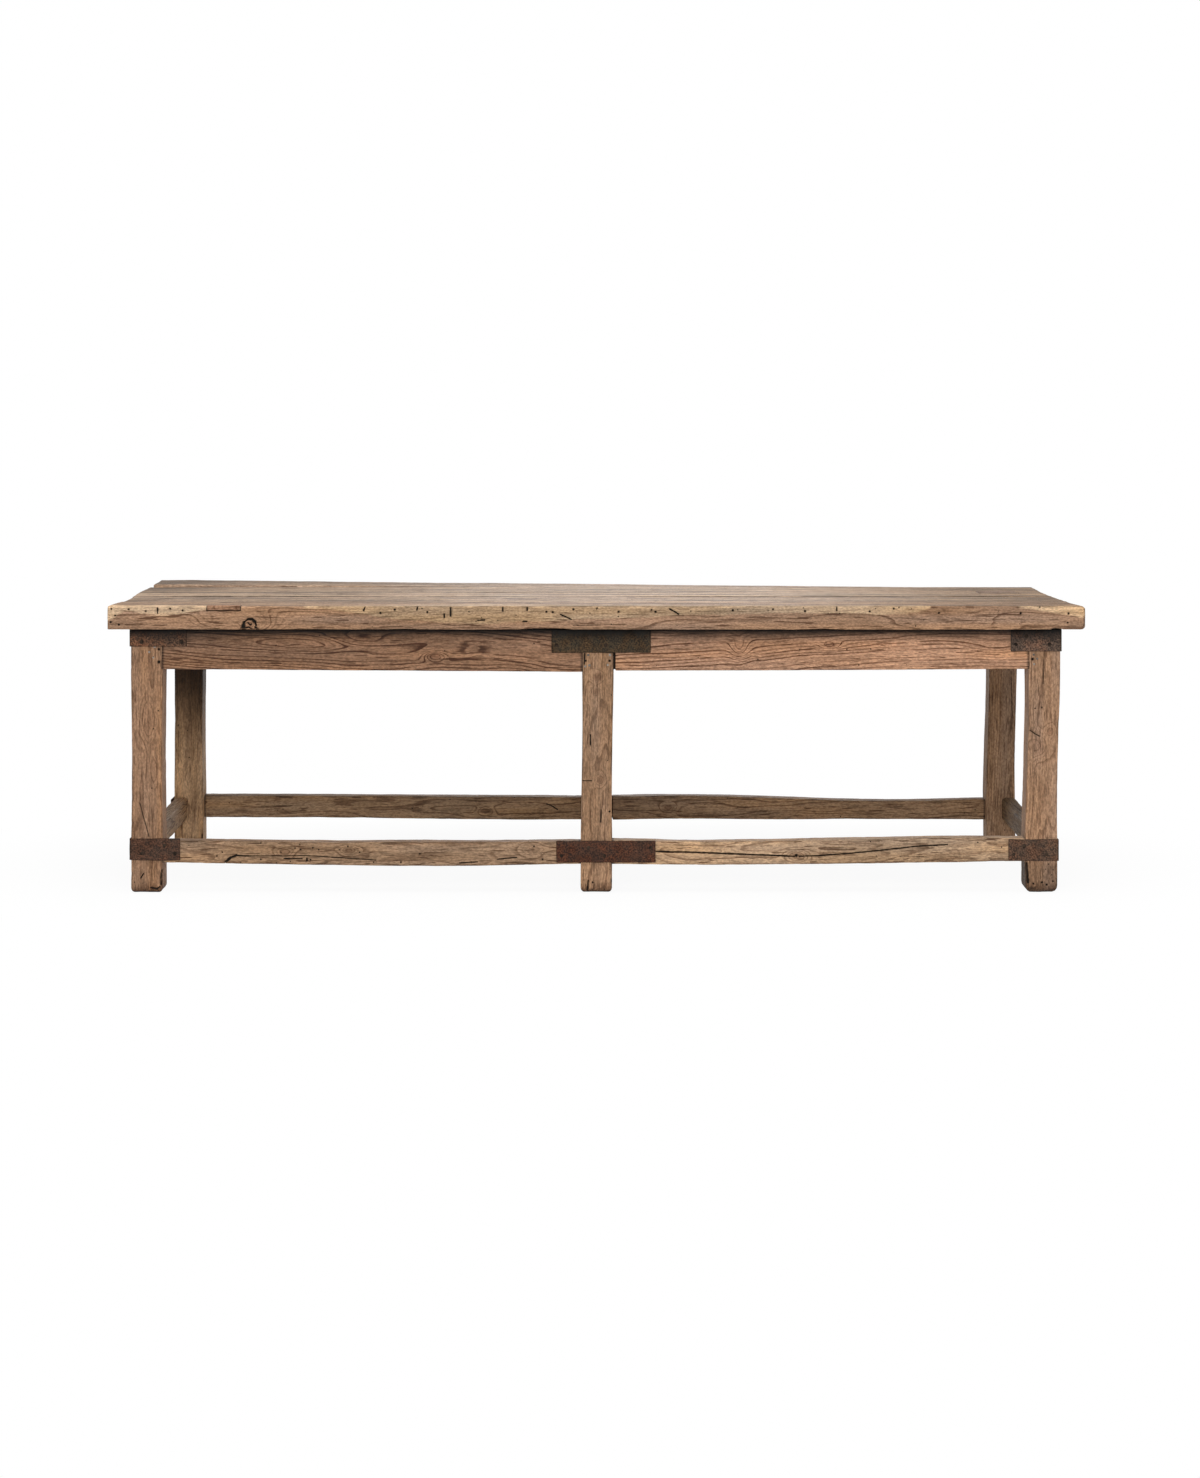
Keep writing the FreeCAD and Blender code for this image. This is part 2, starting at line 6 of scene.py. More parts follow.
import bmesh
import bpy
import numpy as np
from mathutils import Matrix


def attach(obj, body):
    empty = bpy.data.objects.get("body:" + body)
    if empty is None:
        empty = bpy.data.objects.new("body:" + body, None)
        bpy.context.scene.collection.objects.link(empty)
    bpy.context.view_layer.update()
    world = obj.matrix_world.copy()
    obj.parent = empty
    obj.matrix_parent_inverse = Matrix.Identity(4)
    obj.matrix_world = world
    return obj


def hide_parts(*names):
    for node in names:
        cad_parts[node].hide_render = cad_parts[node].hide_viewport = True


# An old work table: hewn timbers with their growth rings, knots, cracks and worm holes, rusted iron
# straps with forged nails, and a plain white studio.
# Timber and camera places are in millimetres until the meshes are made, which are in metres.

MM = 0.001
X, Y, Z = 0, 1, 2

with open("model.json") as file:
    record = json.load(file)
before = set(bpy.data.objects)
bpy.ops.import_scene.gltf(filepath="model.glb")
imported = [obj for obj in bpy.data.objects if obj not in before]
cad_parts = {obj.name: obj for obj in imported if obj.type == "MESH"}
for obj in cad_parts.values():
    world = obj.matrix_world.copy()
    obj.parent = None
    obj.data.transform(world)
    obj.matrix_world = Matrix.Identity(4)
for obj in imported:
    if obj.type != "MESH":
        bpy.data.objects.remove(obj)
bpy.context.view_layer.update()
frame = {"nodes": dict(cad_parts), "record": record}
NODES = frame["nodes"]
SLOTS = {row["node"]: row["material_slot"] for row in frame["record"]["subparts"]}


def add_object(name, data):
    """A new object in the scene."""
    made = bpy.data.objects.new(name, data)
    bpy.context.scene.collection.objects.link(made)
    return made


def others(axis):
    """The two axes across one."""
    return [other for other in (X, Y, Z) if other != axis]


# Node graphs


class Number:
    """What a node gives. Sums and products of numbers add Math nodes."""

    def __init__(self, graph, socket):
        self.graph = graph
        self.socket = socket

    def __add__(self, other):
        return self.graph.math("ADD", self, other)

    def __sub__(self, other):
        return self.graph.math("SUBTRACT", self, other)

    def __rsub__(self, other):
        return self.graph.math("SUBTRACT", other, self)

    def __mul__(self, other):
        return self.graph.math("MULTIPLY", self, other)

    __radd__ = __add__


class Graph:
    """A tree of nodes, for a material or for geometry."""

    def __init__(self, tree):
        self.tree = tree
        tree.nodes.clear()

    def node(self, kind, sockets, output=0, **settings):
        """Adds a node: first its settings, then the values or links of its sockets."""
        node = self.tree.nodes.new(kind)
        for name, value in settings.items():
            setattr(node, name, value)
        for name, value in sockets.items():
            if isinstance(value, Number):
                self.tree.links.new(value.socket, node.inputs[name])
            else:
                node.inputs[name].default_value = value
        return Number(self, node.outputs[output]) if node.outputs else None

    def math(self, operation, first, second=0):
        """One step of arithmetic."""
        return self.node("ShaderNodeMath", {0: first, 1: second}, operation=operation)


class Finish(Graph):
    """A procedural material."""

    def __init__(self, name):
        self.material = bpy.data.materials.new(name)
        self.material.use_nodes = True
        super().__init__(self.material.node_tree)

    def attribute(self, name, output):
        """What the maker of a mesh stored at its points."""
        return self.node("ShaderNodeAttribute", {}, output, attribute_name=name)

    def place(self):
        """The place on the piece, in metres."""
        return self.node("ShaderNodeTexCoord", {}, "Object")

    def stretched(self, place, by):
        """A place with its three axes scaled."""
        return self.node("ShaderNodeVectorMath", {0: place, 1: by}, operation="MULTIPLY")

    def noise(self, place, scale, detail):
        """Cloudy noise from 0 to 1."""
        return self.node("ShaderNodeTexNoise", {"Vector": place, "Scale": scale, "Detail": detail})

    def ramp(self, value, low, high):
        """A smooth step from 0 at low to 1 at high."""
        sockets = {"Value": value, "From Min": low, "From Max": high}
        return self.node("ShaderNodeMapRange", sockets, interpolation_type="SMOOTHSTEP")

    def mix(self, share, first, second, blend="MIX"):
        """Two colours mixed, by a share of the second."""
        sockets = {0: share, 6: first, 7: second}
        return self.node("ShaderNodeMix", sockets, 2, data_type="RGBA", blend_type=blend)

    def times(self, colour, factor):
        """A colour multiplied by another or by a number."""
        return self.mix(1, colour, factor, "MULTIPLY")

    def bump(self, height, distance, strength):
        """Normals that follow a height, which stands that far out at 1."""
        sockets = {"Height": height, "Distance": distance, "Strength": strength}
        return self.node("ShaderNodeBump", sockets)

    def surface(self, sockets):
        """Ends the material in one shader and gives the material."""
        shader = self.node("ShaderNodeBsdfPrincipled", sockets)
        self.node("ShaderNodeOutputMaterial", {"Surface": shader})
        return self.material


# Finishes


def old_timber():
    """Waxed old wood: rings, fibres and pores over the tone that each timber carries."""
    wood = Finish("old_timber")
    grain = wood.attribute("grain", "Vector")
    tone = wood.attribute("tone", "Color")
    figure = wood.attribute("figure", "Fac")
    pit = wood.math("MAXIMUM", wood.attribute("pit", "Fac"), worm_specks(wood, grain))

    def threads(along, across, detail):
        """Noise drawn out along the grain, with that many threads to a metre."""
        return wood.noise(wood.stretched(grain, (along, across, across)), 1, detail)

    wander = threads(5, 45, 2)
    ring = wood.attribute("ring", "Fac") + wander * 0.8
    count = wood.math("FLOOR", ring)
    part = wood.math("FRACT", ring)
    depth = wood.node("ShaderNodeTexWhiteNoise", {"W": count}, noise_dimensions="1D")
    late = wood.ramp(part, 0.5, 0.88) * (1 - wood.ramp(part, 0.93, 1))
    broken = threads(10, 120, 3)
    line = late * (depth * 0.85 + 0.15) * figure * wood.ramp(broken, 0.28, 0.5)
    streak = threads(3, 60, 2)
    fibre = wood.ramp(threads(16, 340, 2), 0.38, 0.62)
    speckle = wood.ramp(threads(130, 300, 1), 0.36, 0.64)
    check = wood.ramp(threads(15, 210, 2), 0.61, 0.66)
    pore = wood.ramp(threads(38, 620, 2), 0.56, 0.7)
    shadow = wood.times(tone, (0.24, 0.165, 0.12, 1))
    colour = wood.mix(line, tone, shadow)
    colour = wood.times(colour, streak * 0.6 + 0.78)
    colour = wood.times(colour, fibre * 0.24 + 0.9)
    colour = wood.times(colour, speckle * 0.4 + 0.82)
    colour = wood.mix(check * wood.math("MINIMUM", figure, 0.85), colour, shadow)
    colour = wood.mix(pore * 0.35, colour, shadow)
    colour = wood.mix(pit, colour, (0.008, 0.006, 0.004, 1))
    relief = speckle * 0.25 + fibre * 0.25 - line * 0.25 - pore * 0.4 - check * 0.5
    return wood.surface({
        "Base Color": colour,
        "Roughness": 0.72 - fibre * 0.15 + pit * 0.2,
        "Specular IOR Level": 0.2,
        "Normal": wood.bump(relief, 0.0018, 0.8),
    })


def worm_specks(wood, grain):
    """Small dark holes, thick where the timber's worm attribute is high."""
    cells = {"Vector": grain, "Scale": 62}
    away = wood.node("ShaderNodeTexVoronoi", cells, "Distance")
    colour = wood.node("ShaderNodeTexVoronoi", cells, "Color")
    chance = wood.node("ShaderNodeSeparateColor", {0: colour})
    picked = wood.math("LESS_THAN", chance, wood.attribute("worm", "Fac"))
    return (1 - wood.ramp(away, 0.1, 0.15)) * picked * 0.95


def peg_wood():
    """Dark end grain of the pegs and dowels."""
    wood = Finish("peg_wood")
    place = wood.place()
    speck = wood.noise(place, 900, 3)
    cloud = wood.noise(place, 60, 2)
    colour = wood.mix(speck, (0.004, 0.003, 0.002, 1), (0.018, 0.011, 0.007, 1))
    colour = wood.times(colour, cloud * 0.8 + 0.6)
    return wood.surface({
        "Base Color": colour,
        "Roughness": speck * 0.2 + 0.7,
        "Specular IOR Level": 0.1,
        "Normal": wood.bump(speck, 0.0004, 0.5),
    })


def rusted_iron():
    """Hammered iron with a brown skin of rust over the tone that each strap carries."""
    iron = Finish("rusted_iron")
    place = iron.place()
    tone = iron.attribute("tone", "Color")
    blotch = iron.noise(place, 34, 5)
    speck = iron.noise(place, 250, 3)
    scale = iron.noise(place, 110, 4)
    rust = iron.ramp(blotch + speck * 0.35, 0.56, 0.84)
    bright = iron.ramp(scale, 0.62, 0.72)
    orange = iron.times(tone, (1.25, 0.95, 0.8, 1))
    pale = iron.times(tone, (2.6, 2.5, 2.5, 1))
    colour = iron.mix(rust * 0.6, tone, orange)
    colour = iron.mix(bright * 0.5, colour, pale)
    colour = iron.times(colour, iron.ramp(speck, 0.34, 0.66) * 1.2 + 0.35)
    colour = iron.times(colour, blotch * 1.4 + 0.25)
    relief = scale * 0.6 + speck * 0.4
    return iron.surface({
        "Base Color": colour,
        "Metallic": 0.1,
        "Roughness": 0.62 + rust * 0.2 + speck * 0.1,
        "Specular IOR Level": 0.2,
        "Normal": iron.bump(relief, 0.0018, 0.9),
    })


def nail_iron(name, dark, light):
    """A forged nail head, from its dark hollows to its rubbed facets."""
    iron = Finish(name)
    place = iron.place()
    speck = iron.noise(place, 500, 4)
    blotch = iron.noise(place, 90, 2)
    colour = iron.mix(iron.ramp(blotch, 0.35, 0.65), dark, light)
    colour = iron.times(colour, speck * 0.8 + 0.6)
    return iron.surface({
        "Base Color": colour,
        "Metallic": 0.1,
        "Roughness": speck * 0.3 + 0.6,
        "Specular IOR Level": 0.12,
        "Normal": iron.bump(speck, 0.0006, 0.7),
    })


def linear(colour):
    """A colour given from 0 to 255 as screens show it, as light."""
    share = np.asarray(colour, float) / 255
    return np.where(share <= 0.04045, share / 12.92, ((share + 0.055) / 1.055) ** 2.4)


# Noise and distances

HASH_STEPS = np.array([374761393, 668265263, 2147483647])
SEED_STEP = 1274126177
LOW_BITS = 0xFFFFFFFF


def scatter(cells, seed):
    """A fixed random number from -1 to 1 for each cell."""
    mixed = (cells * HASH_STEPS).sum(axis=1) + seed * SEED_STEP
    mixed = ((mixed ^ (mixed >> 13)) * SEED_STEP) & LOW_BITS
    mixed = ((mixed ^ (mixed >> 15)) * HASH_STEPS[0]) & LOW_BITS
    return (mixed ^ (mixed >> 16)) / (LOW_BITS / 2) - 1


def lumps(points, size, seed):
    """Smooth noise from -1 to 1, with lumps of one size or of a size along each axis."""
    scaled = points / np.asarray(size, float)
    cell = np.floor(scaled).astype(np.int64)
    part = scaled - cell
    part = part ** 3 * (part * (part * 6 - 15) + 10)
    total = np.zeros(len(points))
    for corner in itertools.product((0, 1), repeat=3):
        weight = np.where(corner, part, 1 - part).prod(axis=1)
        total += weight * scatter(cell + np.array(corner), seed)
    return total


def waves(places, size, seed):
    """Smooth noise from -1 to 1 along a line."""
    points = np.zeros((len(places), 3))
    points[:, 0] = places
    return lumps(points, (size, 1, 1), seed)


def step(value, low, high):
    """A smooth step from 0 at low to 1 at high."""
    share = np.clip((value - low) / (high - low), 0, 1)
    return share * share * (3 - 2 * share)


def path_distance(points, path):
    """How far points in a plane are from a path of straight runs, or from one point."""
    path = np.asarray(path, float)
    if len(path) == 1:
        return np.linalg.norm(points - path[0], axis=1)
    nearest = np.full(len(points), np.inf)
    for start, end in zip(path[:-1], path[1:]):
        run = end - start
        share = np.clip((points - start) @ run / (run @ run), 0, 1)
        away = np.linalg.norm(points - start - share[:, None] * run, axis=1)
        nearest = np.minimum(nearest, away)
    return nearest


# Timbers

SURFACE_REACH = 9
FAR_AWAY = 1000


@dataclass
class Mark:
    """A crack, slit or hole: a path on the face that lies across an axis at a level."""

    axis: int
    level: float
    path: list
    width: float
    depth: float

    def off_face(self, points):
        """How far points are from the path, or far away where they aren't on its face."""
        away = path_distance(points[:, others(self.axis)], self.path)
        return np.where(np.abs(points[:, self.axis] - self.level) < SURFACE_REACH, away, FAR_AWAY)


@dataclass
class Knot:
    """A knot that the rings bend round, on the face that lies across an axis at a level."""

    axis: int
    level: float
    centre: tuple
    size: tuple
    turns: float
    stain: float

    def swell(self, points):
        """1 at the knot's middle, falling smoothly to 0 round it."""
        off = (points[:, others(self.axis)] - np.array(self.centre)) / np.array(self.size)
        sunk = (points[:, self.axis] - self.level) / (3 * max(self.size))
        return np.exp(-0.5 * ((off ** 2).sum(axis=1) + sunk ** 2))


@dataclass
class Timber:
    """How one timber was sawn, worn and coloured."""

    along: int
    tone: tuple
    pitch: tuple
    arris: tuple
    seed: int
    ends: tuple = (2, 2)
    sway: float = 0.7
    pith: tuple = (60, 40)
    drift: tuple = (30, -20)
    ring: float = 5
    warp: float = 1.5
    figure: float = 0.9
    worm: float = 0.08
    reach: tuple = (2, 2)
    whole: bool = False
    holes: int = 10
    cracks: int = 3
    marks: list = field(default_factory=list)
    knots: list = field(default_factory=list)

    def across(self):
        """The two axes of its section."""
        return others(self.along)

    def drawn_out(self, across, along):
        """The size of lumps that are longer along the grain."""
        return np.where(np.arange(3) == self.along, along, across)


ARC_POINTS = 4
RIM_POINTS = 5
FULL_SECTION = 0.85
LEVEL_RUN = 1e-6
END_TRIM = 30


def read(rows, key, width, kind=float):
    """What each row of a mesh's data holds under a key."""
    values = np.empty(len(rows) * width, kind)
    rows.foreach_get(key, values)
    return values.reshape(-1, width)


def read_points(mesh):
    """Points and normals of a mesh, the points in millimetres."""
    return read(mesh.vertices, "co", 3) / MM, read(mesh.vertex_normals, "vector", 3)


def welded(mesh, gap=0.01):
    """A mesh ready for edits, with points within a gap in millimetres made one."""
    shape = bmesh.new()
    shape.from_mesh(mesh)
    bmesh.ops.remove_doubles(shape, verts=shape.verts, dist=gap * MM)
    return shape


def solid_edges(name):
    """The edges of a solid, in millimetres."""
    mesh = NODES[name].data
    return (read(mesh.vertices, "co", 3) / MM)[read(mesh.edges, "vertices", 2, np.int64)]


def sections(edges, axis, places):
    """The lowest and highest points of a solid where planes cut across an axis."""
    starts, ends = edges[:, 0], edges[:, 1]
    lows, highs = [], []
    for place in places:
        cut = (starts[:, axis] - place) * (ends[:, axis] - place) <= 0
        start, end = starts[cut], ends[cut]
        run = end[:, axis] - start[:, axis]
        ahead = place - start[:, axis]
        share = np.where(np.abs(run) > LEVEL_RUN, ahead / np.where(run == 0, 1, run), 0)
        points = start + share[:, None] * (end - start)
        lows.append(points.min(axis=0))
        highs.append(points.max(axis=0))
    return np.array(lows), np.array(highs)


def visible_run(edges, timber):
    """Where a timber starts and ends, a rail without its tenons, and its sections between."""
    ends = edges[:, :, timber.along].min(), edges[:, :, timber.along].max()
    places = np.arange(ends[0] + 0.5, ends[1], 1)
    lows, highs = sections(edges, timber.along, places)
    if timber.whole:
        return ends, places, lows, highs
    sizes = (highs - lows)[:, timber.across()]
    full = np.flatnonzero((sizes > FULL_SECTION * np.median(sizes, axis=0)).all(axis=1))
    first, last = full[0], full[-1] + 1
    run = places[first] - 0.5 - timber.reach[0], places[last - 1] + 0.5 + timber.reach[1]
    return run, places[first:last], lows[first:last], highs[first:last]


def rings_along(run, pitch, ends, half):
    """Places along a timber and the inset of its section at each, from end to end.

    Each end face closes to a line, and its rim is worn to a radius.
    """
    rows = []
    for end, way, radius in ((run[0], 1, ends[0]), (run[1], -1, ends[1])):
        faces = max(3, round((half - radius) / pitch))
        cap = [(end, inset) for inset in np.linspace(half, radius, faces, endpoint=False)]
        turns = np.linspace(0, math.pi / 2, RIM_POINTS)
        rim = [(end + way * radius * (1 - math.cos(a)), radius * (1 - math.sin(a))) for a in turns]
        rows.append(cap + rim)
    start, stop = run[0] + ends[0], run[1] - ends[1]
    body = np.linspace(start, stop, max(2, round((stop - start) / pitch)))[1:-1]
    return np.array(rows[0] + [(place, 0) for place in body] + rows[1][::-1])


def rounded_rings(low, high, radii, counts):
    """Points round a row of rectangles with rounded corners."""
    limit = (high - low).min(axis=1, keepdims=True) / 2
    radii = np.minimum(radii, limit)
    inward = np.array([(1, 1), (-1, 1), (-1, -1), (1, -1)])
    arcs = []
    for k, start in enumerate((2, 3, 0, 1)):
        corner = np.where(inward[k] > 0, low, high)
        centre = corner + inward[k] * radii[:, k:k + 1]
        turns = (start + np.linspace(0, 1, ARC_POINTS)) * math.pi / 2
        rim = np.stack([np.cos(turns), np.sin(turns)], axis=1)
        arcs.append(centre[:, None] + radii[:, k, None, None] * rim)
    parts = []
    for k, arc in enumerate(arcs):
        onward = arcs[(k + 1) % 4][:, :1]
        count = counts[k % 2]
        share = (np.arange(1, count) / count)[None, :, None]
        parts += [arc, arc[:, -1:] + share * (onward - arc[:, -1:])]
    return np.concatenate(parts, axis=1)


def worn_arrises(timber, places):
    """Radii of the four arrises along a timber, with soft wear and a few chips."""
    radii = []
    for k, radius in enumerate(timber.arris):
        seed = timber.seed * 10 + k
        soft = 1 + 0.45 * waves(places, 130, seed) + 0.25 * waves(places, 31, seed + 500)
        chip = np.clip(waves(places, 17, seed + 900) - 0.5, 0, None) * 6
        radii.append(radius * soft + chip)
    return np.stack(radii, axis=1)


def blank_skin(name, timber):
    """A closed grid over a timber's solid, as points in millimetres and faces."""
    edges = solid_edges(name)
    run, places, lows, highs = visible_run(edges, timber)
    u, v = timber.across()
    trim = len(places) // END_TRIM
    middle = slice(trim, len(places) - trim)
    half = (highs[middle] - lows[middle])[:, [u, v]].min(axis=1).max() / 2
    rows = rings_along(run, timber.pitch[0], timber.ends, half)
    low, high = (
        np.stack([np.interp(rows[:, 0], places[middle], bound[middle, axis]) for axis in (u, v)], axis=1)
        for bound in (lows, highs)
    )
    size = (high - low).max(axis=0)
    counts = [max(2, round(size[k] / timber.pitch[k + 1])) for k in (0, 1)]
    low, high = low + rows[:, 1:], high - rows[:, 1:]
    centre = (low + high) / 2
    low, high = np.minimum(low, centre), np.maximum(high, centre)
    radii = np.maximum(worn_arrises(timber, rows[:, 0]) - rows[:, 1:], 0)
    flat = rounded_rings(low, high, radii, counts)
    count = flat.shape[1]
    points = np.empty((len(rows), count, 3))
    points[:, :, timber.along] = rows[:, :1]
    points[:, :, [u, v]] = flat
    points = points.reshape(-1, 3)
    if timber.along == X and timber.whole:
        follow_ends(points, edges, run)
    ring, place = np.divmod(np.arange((len(rows) - 1) * count), count)
    here = ring * count + place
    onward = ring * count + (place + 1) % count
    faces = np.stack([here, onward, onward + count, here + count], axis=1)
    return points, faces


END_BLEND = 90
END_ROWS = 24
END_ROW_INSET = 4


def follow_ends(points, edges, run):
    """Moves a plank's points so that its ends have the curves of the solid's."""
    low, high = edges[:, :, Y].min(), edges[:, :, Y].max()
    rows = np.linspace(low + END_ROW_INSET, high - END_ROW_INSET, END_ROWS)
    lows, highs = sections(edges, Y, rows)
    left = np.interp(points[:, Y], rows, lows[:, X]) - run[0]
    right = np.interp(points[:, Y], rows, highs[:, X]) - run[1]
    points[:, X] += left * (1 - step(points[:, X], run[0], run[0] + END_BLEND))
    points[:, X] += right * step(points[:, X], run[1] - END_BLEND, run[1])


REFINE_STEPS = (5, 2.6)


def fine_mesh(name, points, faces, marks):
    """A mesh of a skin, divided more finely round its marks."""
    mesh = bpy.data.meshes.new(name)
    mesh.from_pydata(points * MM, [], faces.tolist())
    shape = welded(mesh, 0.02)
    bmesh.ops.recalc_face_normals(shape, faces=shape.faces)
    for reach in REFINE_STEPS if marks else ():
        middles = np.array([(e.verts[0].co + e.verts[1].co)[:] for e in shape.edges]) / (2 * MM)
        near = np.zeros(len(middles), bool)
        for mark in marks:
            near |= mark.off_face(middles) < reach + mark.width / 2
        close = [edge for edge, chosen in zip(shape.edges, near) if chosen]
        bmesh.ops.subdivide_edges(shape, edges=close, cuts=1, use_grid_fill=True)
    shape.to_mesh(mesh)
    shape.free()
    return mesh


def store(mesh, name, values):
    """Stores a number, a vector or a colour at each point."""
    kind, key = {1: ("FLOAT", "value"), 3: ("FLOAT_VECTOR", "vector"), 4: ("FLOAT_COLOR", "color")}[
        1 if values.ndim == 1 else values.shape[1]
    ]
    mesh.attributes.new(name, kind, "POINT").data.foreach_set(key, values.astype(np.float32).ravel())


def store_tone(mesh, tone):
    """Stores a colour at each point."""
    store(mesh, "tone", np.hstack([np.clip(tone, 0, 1), np.ones((len(tone), 1))]))


def weathering(timber, low, high):
    """Worm holes and fine cracks at random on a timber's four long faces."""
    rng = np.random.default_rng(timber.seed)
    u, v = timber.across()
    marks = []
    for i in range(timber.holes + timber.cracks):
        axis, other = (u, v) if rng.random() < 0.5 else (v, u)
        level = (low, high)[rng.integers(2)][axis]
        place = rng.uniform(low[timber.along] + 20, high[timber.along] - 20)
        aside = rng.uniform(low[other] + 5, high[other] - 5)
        length, lean = rng.uniform(40, 190), rng.uniform(-0.04, 0.04)
        width, depth = rng.uniform(1.6, 3.4), rng.uniform(1.5, 4)
        if i < timber.holes:
            path = [(place, aside)]
        else:
            path = [(place + share * length, aside + lean * share * length) for share in (0, 0.4, 1)]
            width = min(width, 1.9)
        if timber.along > other:
            path = [point[::-1] for point in path]
        marks.append(Mark(axis, level, path, width, depth))
    return marks


def carve(points, normals, marks):
    """Sinks the marks into a skin and gives how dark each point of it is."""
    pit = np.zeros(len(points))
    sink = np.zeros(len(points))
    for mark in marks:
        away = mark.off_face(points)
        ragged = mark.width / 2 * (1 + 0.3 * lumps(points, 7, 77))
        inside = 1 - step(away, ragged * 0.45, ragged * 1.15)
        sink = np.maximum(sink, inside * mark.depth)
        pit = np.maximum(pit, inside)
    points -= normals * sink[:, None]
    return pit


def wandering_rings(timber, points, low, high):
    """Growth rings round a pith that drifts along the timber, bent round its knots."""
    along = points[:, timber.along]
    start, stop = low[timber.along], high[timber.along]
    share = (along - start) / (stop - start) - 0.5
    size = timber.drawn_out(40, 330)
    off = []
    for k, axis in enumerate(timber.across()):
        bend = 9 * waves(along, 310, timber.seed + 40 + k)
        pith = (low[axis] + high[axis]) / 2 + timber.pith[k] + timber.drift[k] * share + bend
        off.append(points[:, axis] - pith)
    ring = np.hypot(*off) / timber.ring + timber.warp * lumps(points, size, timber.seed + 50)
    ring += 0.35 * timber.warp * lumps(points, size / 3, timber.seed + 51)
    for knot in timber.knots:
        ring += knot.turns * knot.swell(points)
    return ring


def slant(normals):
    """How far normals lean between two axes: 0 on flat faces and most on arrises."""
    return np.sort(np.abs(normals), axis=1)[:, 1]


def timber_tone(timber, points, normals):
    """Colour at each point: clouds along the grain, darker end grain and knots, rubbed arrises."""
    size = timber.drawn_out(40, 380)
    tone = np.repeat(linear(timber.tone)[None], len(points), axis=0)
    tone *= 1 + 0.2 * lumps(points, size, timber.seed + 60)[:, None]
    tone *= 1 + 0.1 * lumps(points, size / 2.8, timber.seed + 63)[:, None]
    warm = 0.12 * lumps(points, size * 0.6, timber.seed + 61)[:, None]
    tone *= 1 + warm * np.array([0.5, 0, -0.9])
    end = step(np.abs(normals[:, timber.along]), 0.5, 0.9)[:, None]
    tone *= 1 - 0.3 * end
    rubbed = step(slant(normals), 0.2, 0.6)[:, None] * (1 - end)
    tone *= 1 + rubbed * 0.5 * (lumps(points, 38, timber.seed + 62)[:, None] - 0.1)
    for knot in timber.knots:
        core = step(knot.swell(points), 0.45, 0.9)[:, None]
        tone *= 1 - knot.stain * core * np.array([0.8, 0.95, 1])
    return tone


FLOOR_LEVEL = 0


def hew(timber, points, normals):
    """Slow waves and tool marks over a timber's faces, with the feet left flat on the floor."""
    size = timber.drawn_out(95, 260)
    depth = timber.sway * lumps(points, size, timber.seed + 70)
    depth += 0.45 * timber.sway * lumps(points, size / 3.4, timber.seed + 71)
    depth += 0.12 * lumps(points, size / 14, timber.seed + 72)
    points += normals * depth[:, None]
    points[:, Z] = np.maximum(points[:, Z], FLOOR_LEVEL)


def show(name, mesh, finish):
    """Puts a mesh in the place of a solid."""
    mesh.materials.append(finish)
    mesh.polygons.foreach_set("use_smooth", np.ones(len(mesh.polygons), bool))
    piece = add_object(name + "_skin", mesh)
    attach(piece, "root")
    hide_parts(name)


# How far apart the patterns of two timbers lie, so that none repeats
GRAIN_STEP = np.array([1.7, 0.31, 0.53])


@dataclass
class Look:
    """What the finish reads at each point of a timber."""

    tone: np.ndarray
    figure: np.ndarray
    pit: np.ndarray
    worm: np.ndarray


def make_timber(name, timber, finish, shape=None, colour=None):
    """Makes a timber's skin. shape may move its points and colour may change its look."""
    points, faces = blank_skin(name, timber)
    low, high = points.min(axis=0), points.max(axis=0)
    marks = timber.marks + weathering(timber, low, high)
    mesh = fine_mesh(name, points, faces, marks)
    points, normals = read_points(mesh)
    start = points.copy()
    hew(timber, points, normals)
    if shape:
        shape(points, start)
    pit = carve(points, normals, marks)
    figure, worm = (np.full(len(points), value) for value in (timber.figure, timber.worm))
    look = Look(timber_tone(timber, start, normals), figure, pit, worm)
    if colour:
        colour(start, normals, look)
    order = [timber.along, *timber.across()]
    store_tone(mesh, look.tone)
    store(mesh, "grain", start[:, order] * MM + timber.seed * GRAIN_STEP)
    store(mesh, "ring", wandering_rings(timber, start, low, high))
    for key in ("figure", "pit", "worm"):
        store(mesh, key, getattr(look, key))
    mesh.vertices.foreach_set("co", (points * MM).ravel())
    mesh.update()
    show(name, mesh, finish)


# What each timber shows

FRAME_FRONT = -425
TOP_EDGE = -450
TOP_LEVEL = 780
REAR_RAIL_FRONT = 375


def front(path, width, depth, level=FRAME_FRONT):
    """A crack, slit or hole on a face that looks to the front."""
    return Mark(Y, level, path, width, depth)


def front_knot(centre, size, turns, stain, level=FRAME_FRONT):
    """A knot on a face that looks to the front."""
    return Knot(Y, level, centre, size, turns, stain)


EDGE_SLITS = [
    [(-1184, 775), (-1184, 761)], [(-623, 777), (-627, 767)], [(-481, 777), (-483, 769)],
    [(-392, 776), (-392, 753)], [(-409, 758), (-409, 749)], [(-251, 777), (-251, 765)],
    [(-185, 777), (-185, 768)], [(4, 775), (3, 771)], [(200, 772), (211, 766), (224, 758)],
    [(652, 777), (652, 767)], [(-318, 741), (-300, 742)], [(-95, 757), (-66, 744)],
    [(-196, 738), (-186, 738)],
]
EDGE_HOLES = [
    (-133, 764), (-116, 763), (151, 769), (162, 764), (-582, 761), (-1309, 772), (-1117, 768),
    (-1299, 754), (-1311, 736), (-1289, 729), (1279, 759), (1149, 760), (1201, 777), (1276, 735),
    (928, 761), (806, 772), (-1262, 771), (-1216, 766), (-1150, 773), (-543, 770), (-455, 763),
    (-60, 771), (62, 764), (371, 768), (480, 771), (566, 766), (741, 765),
]
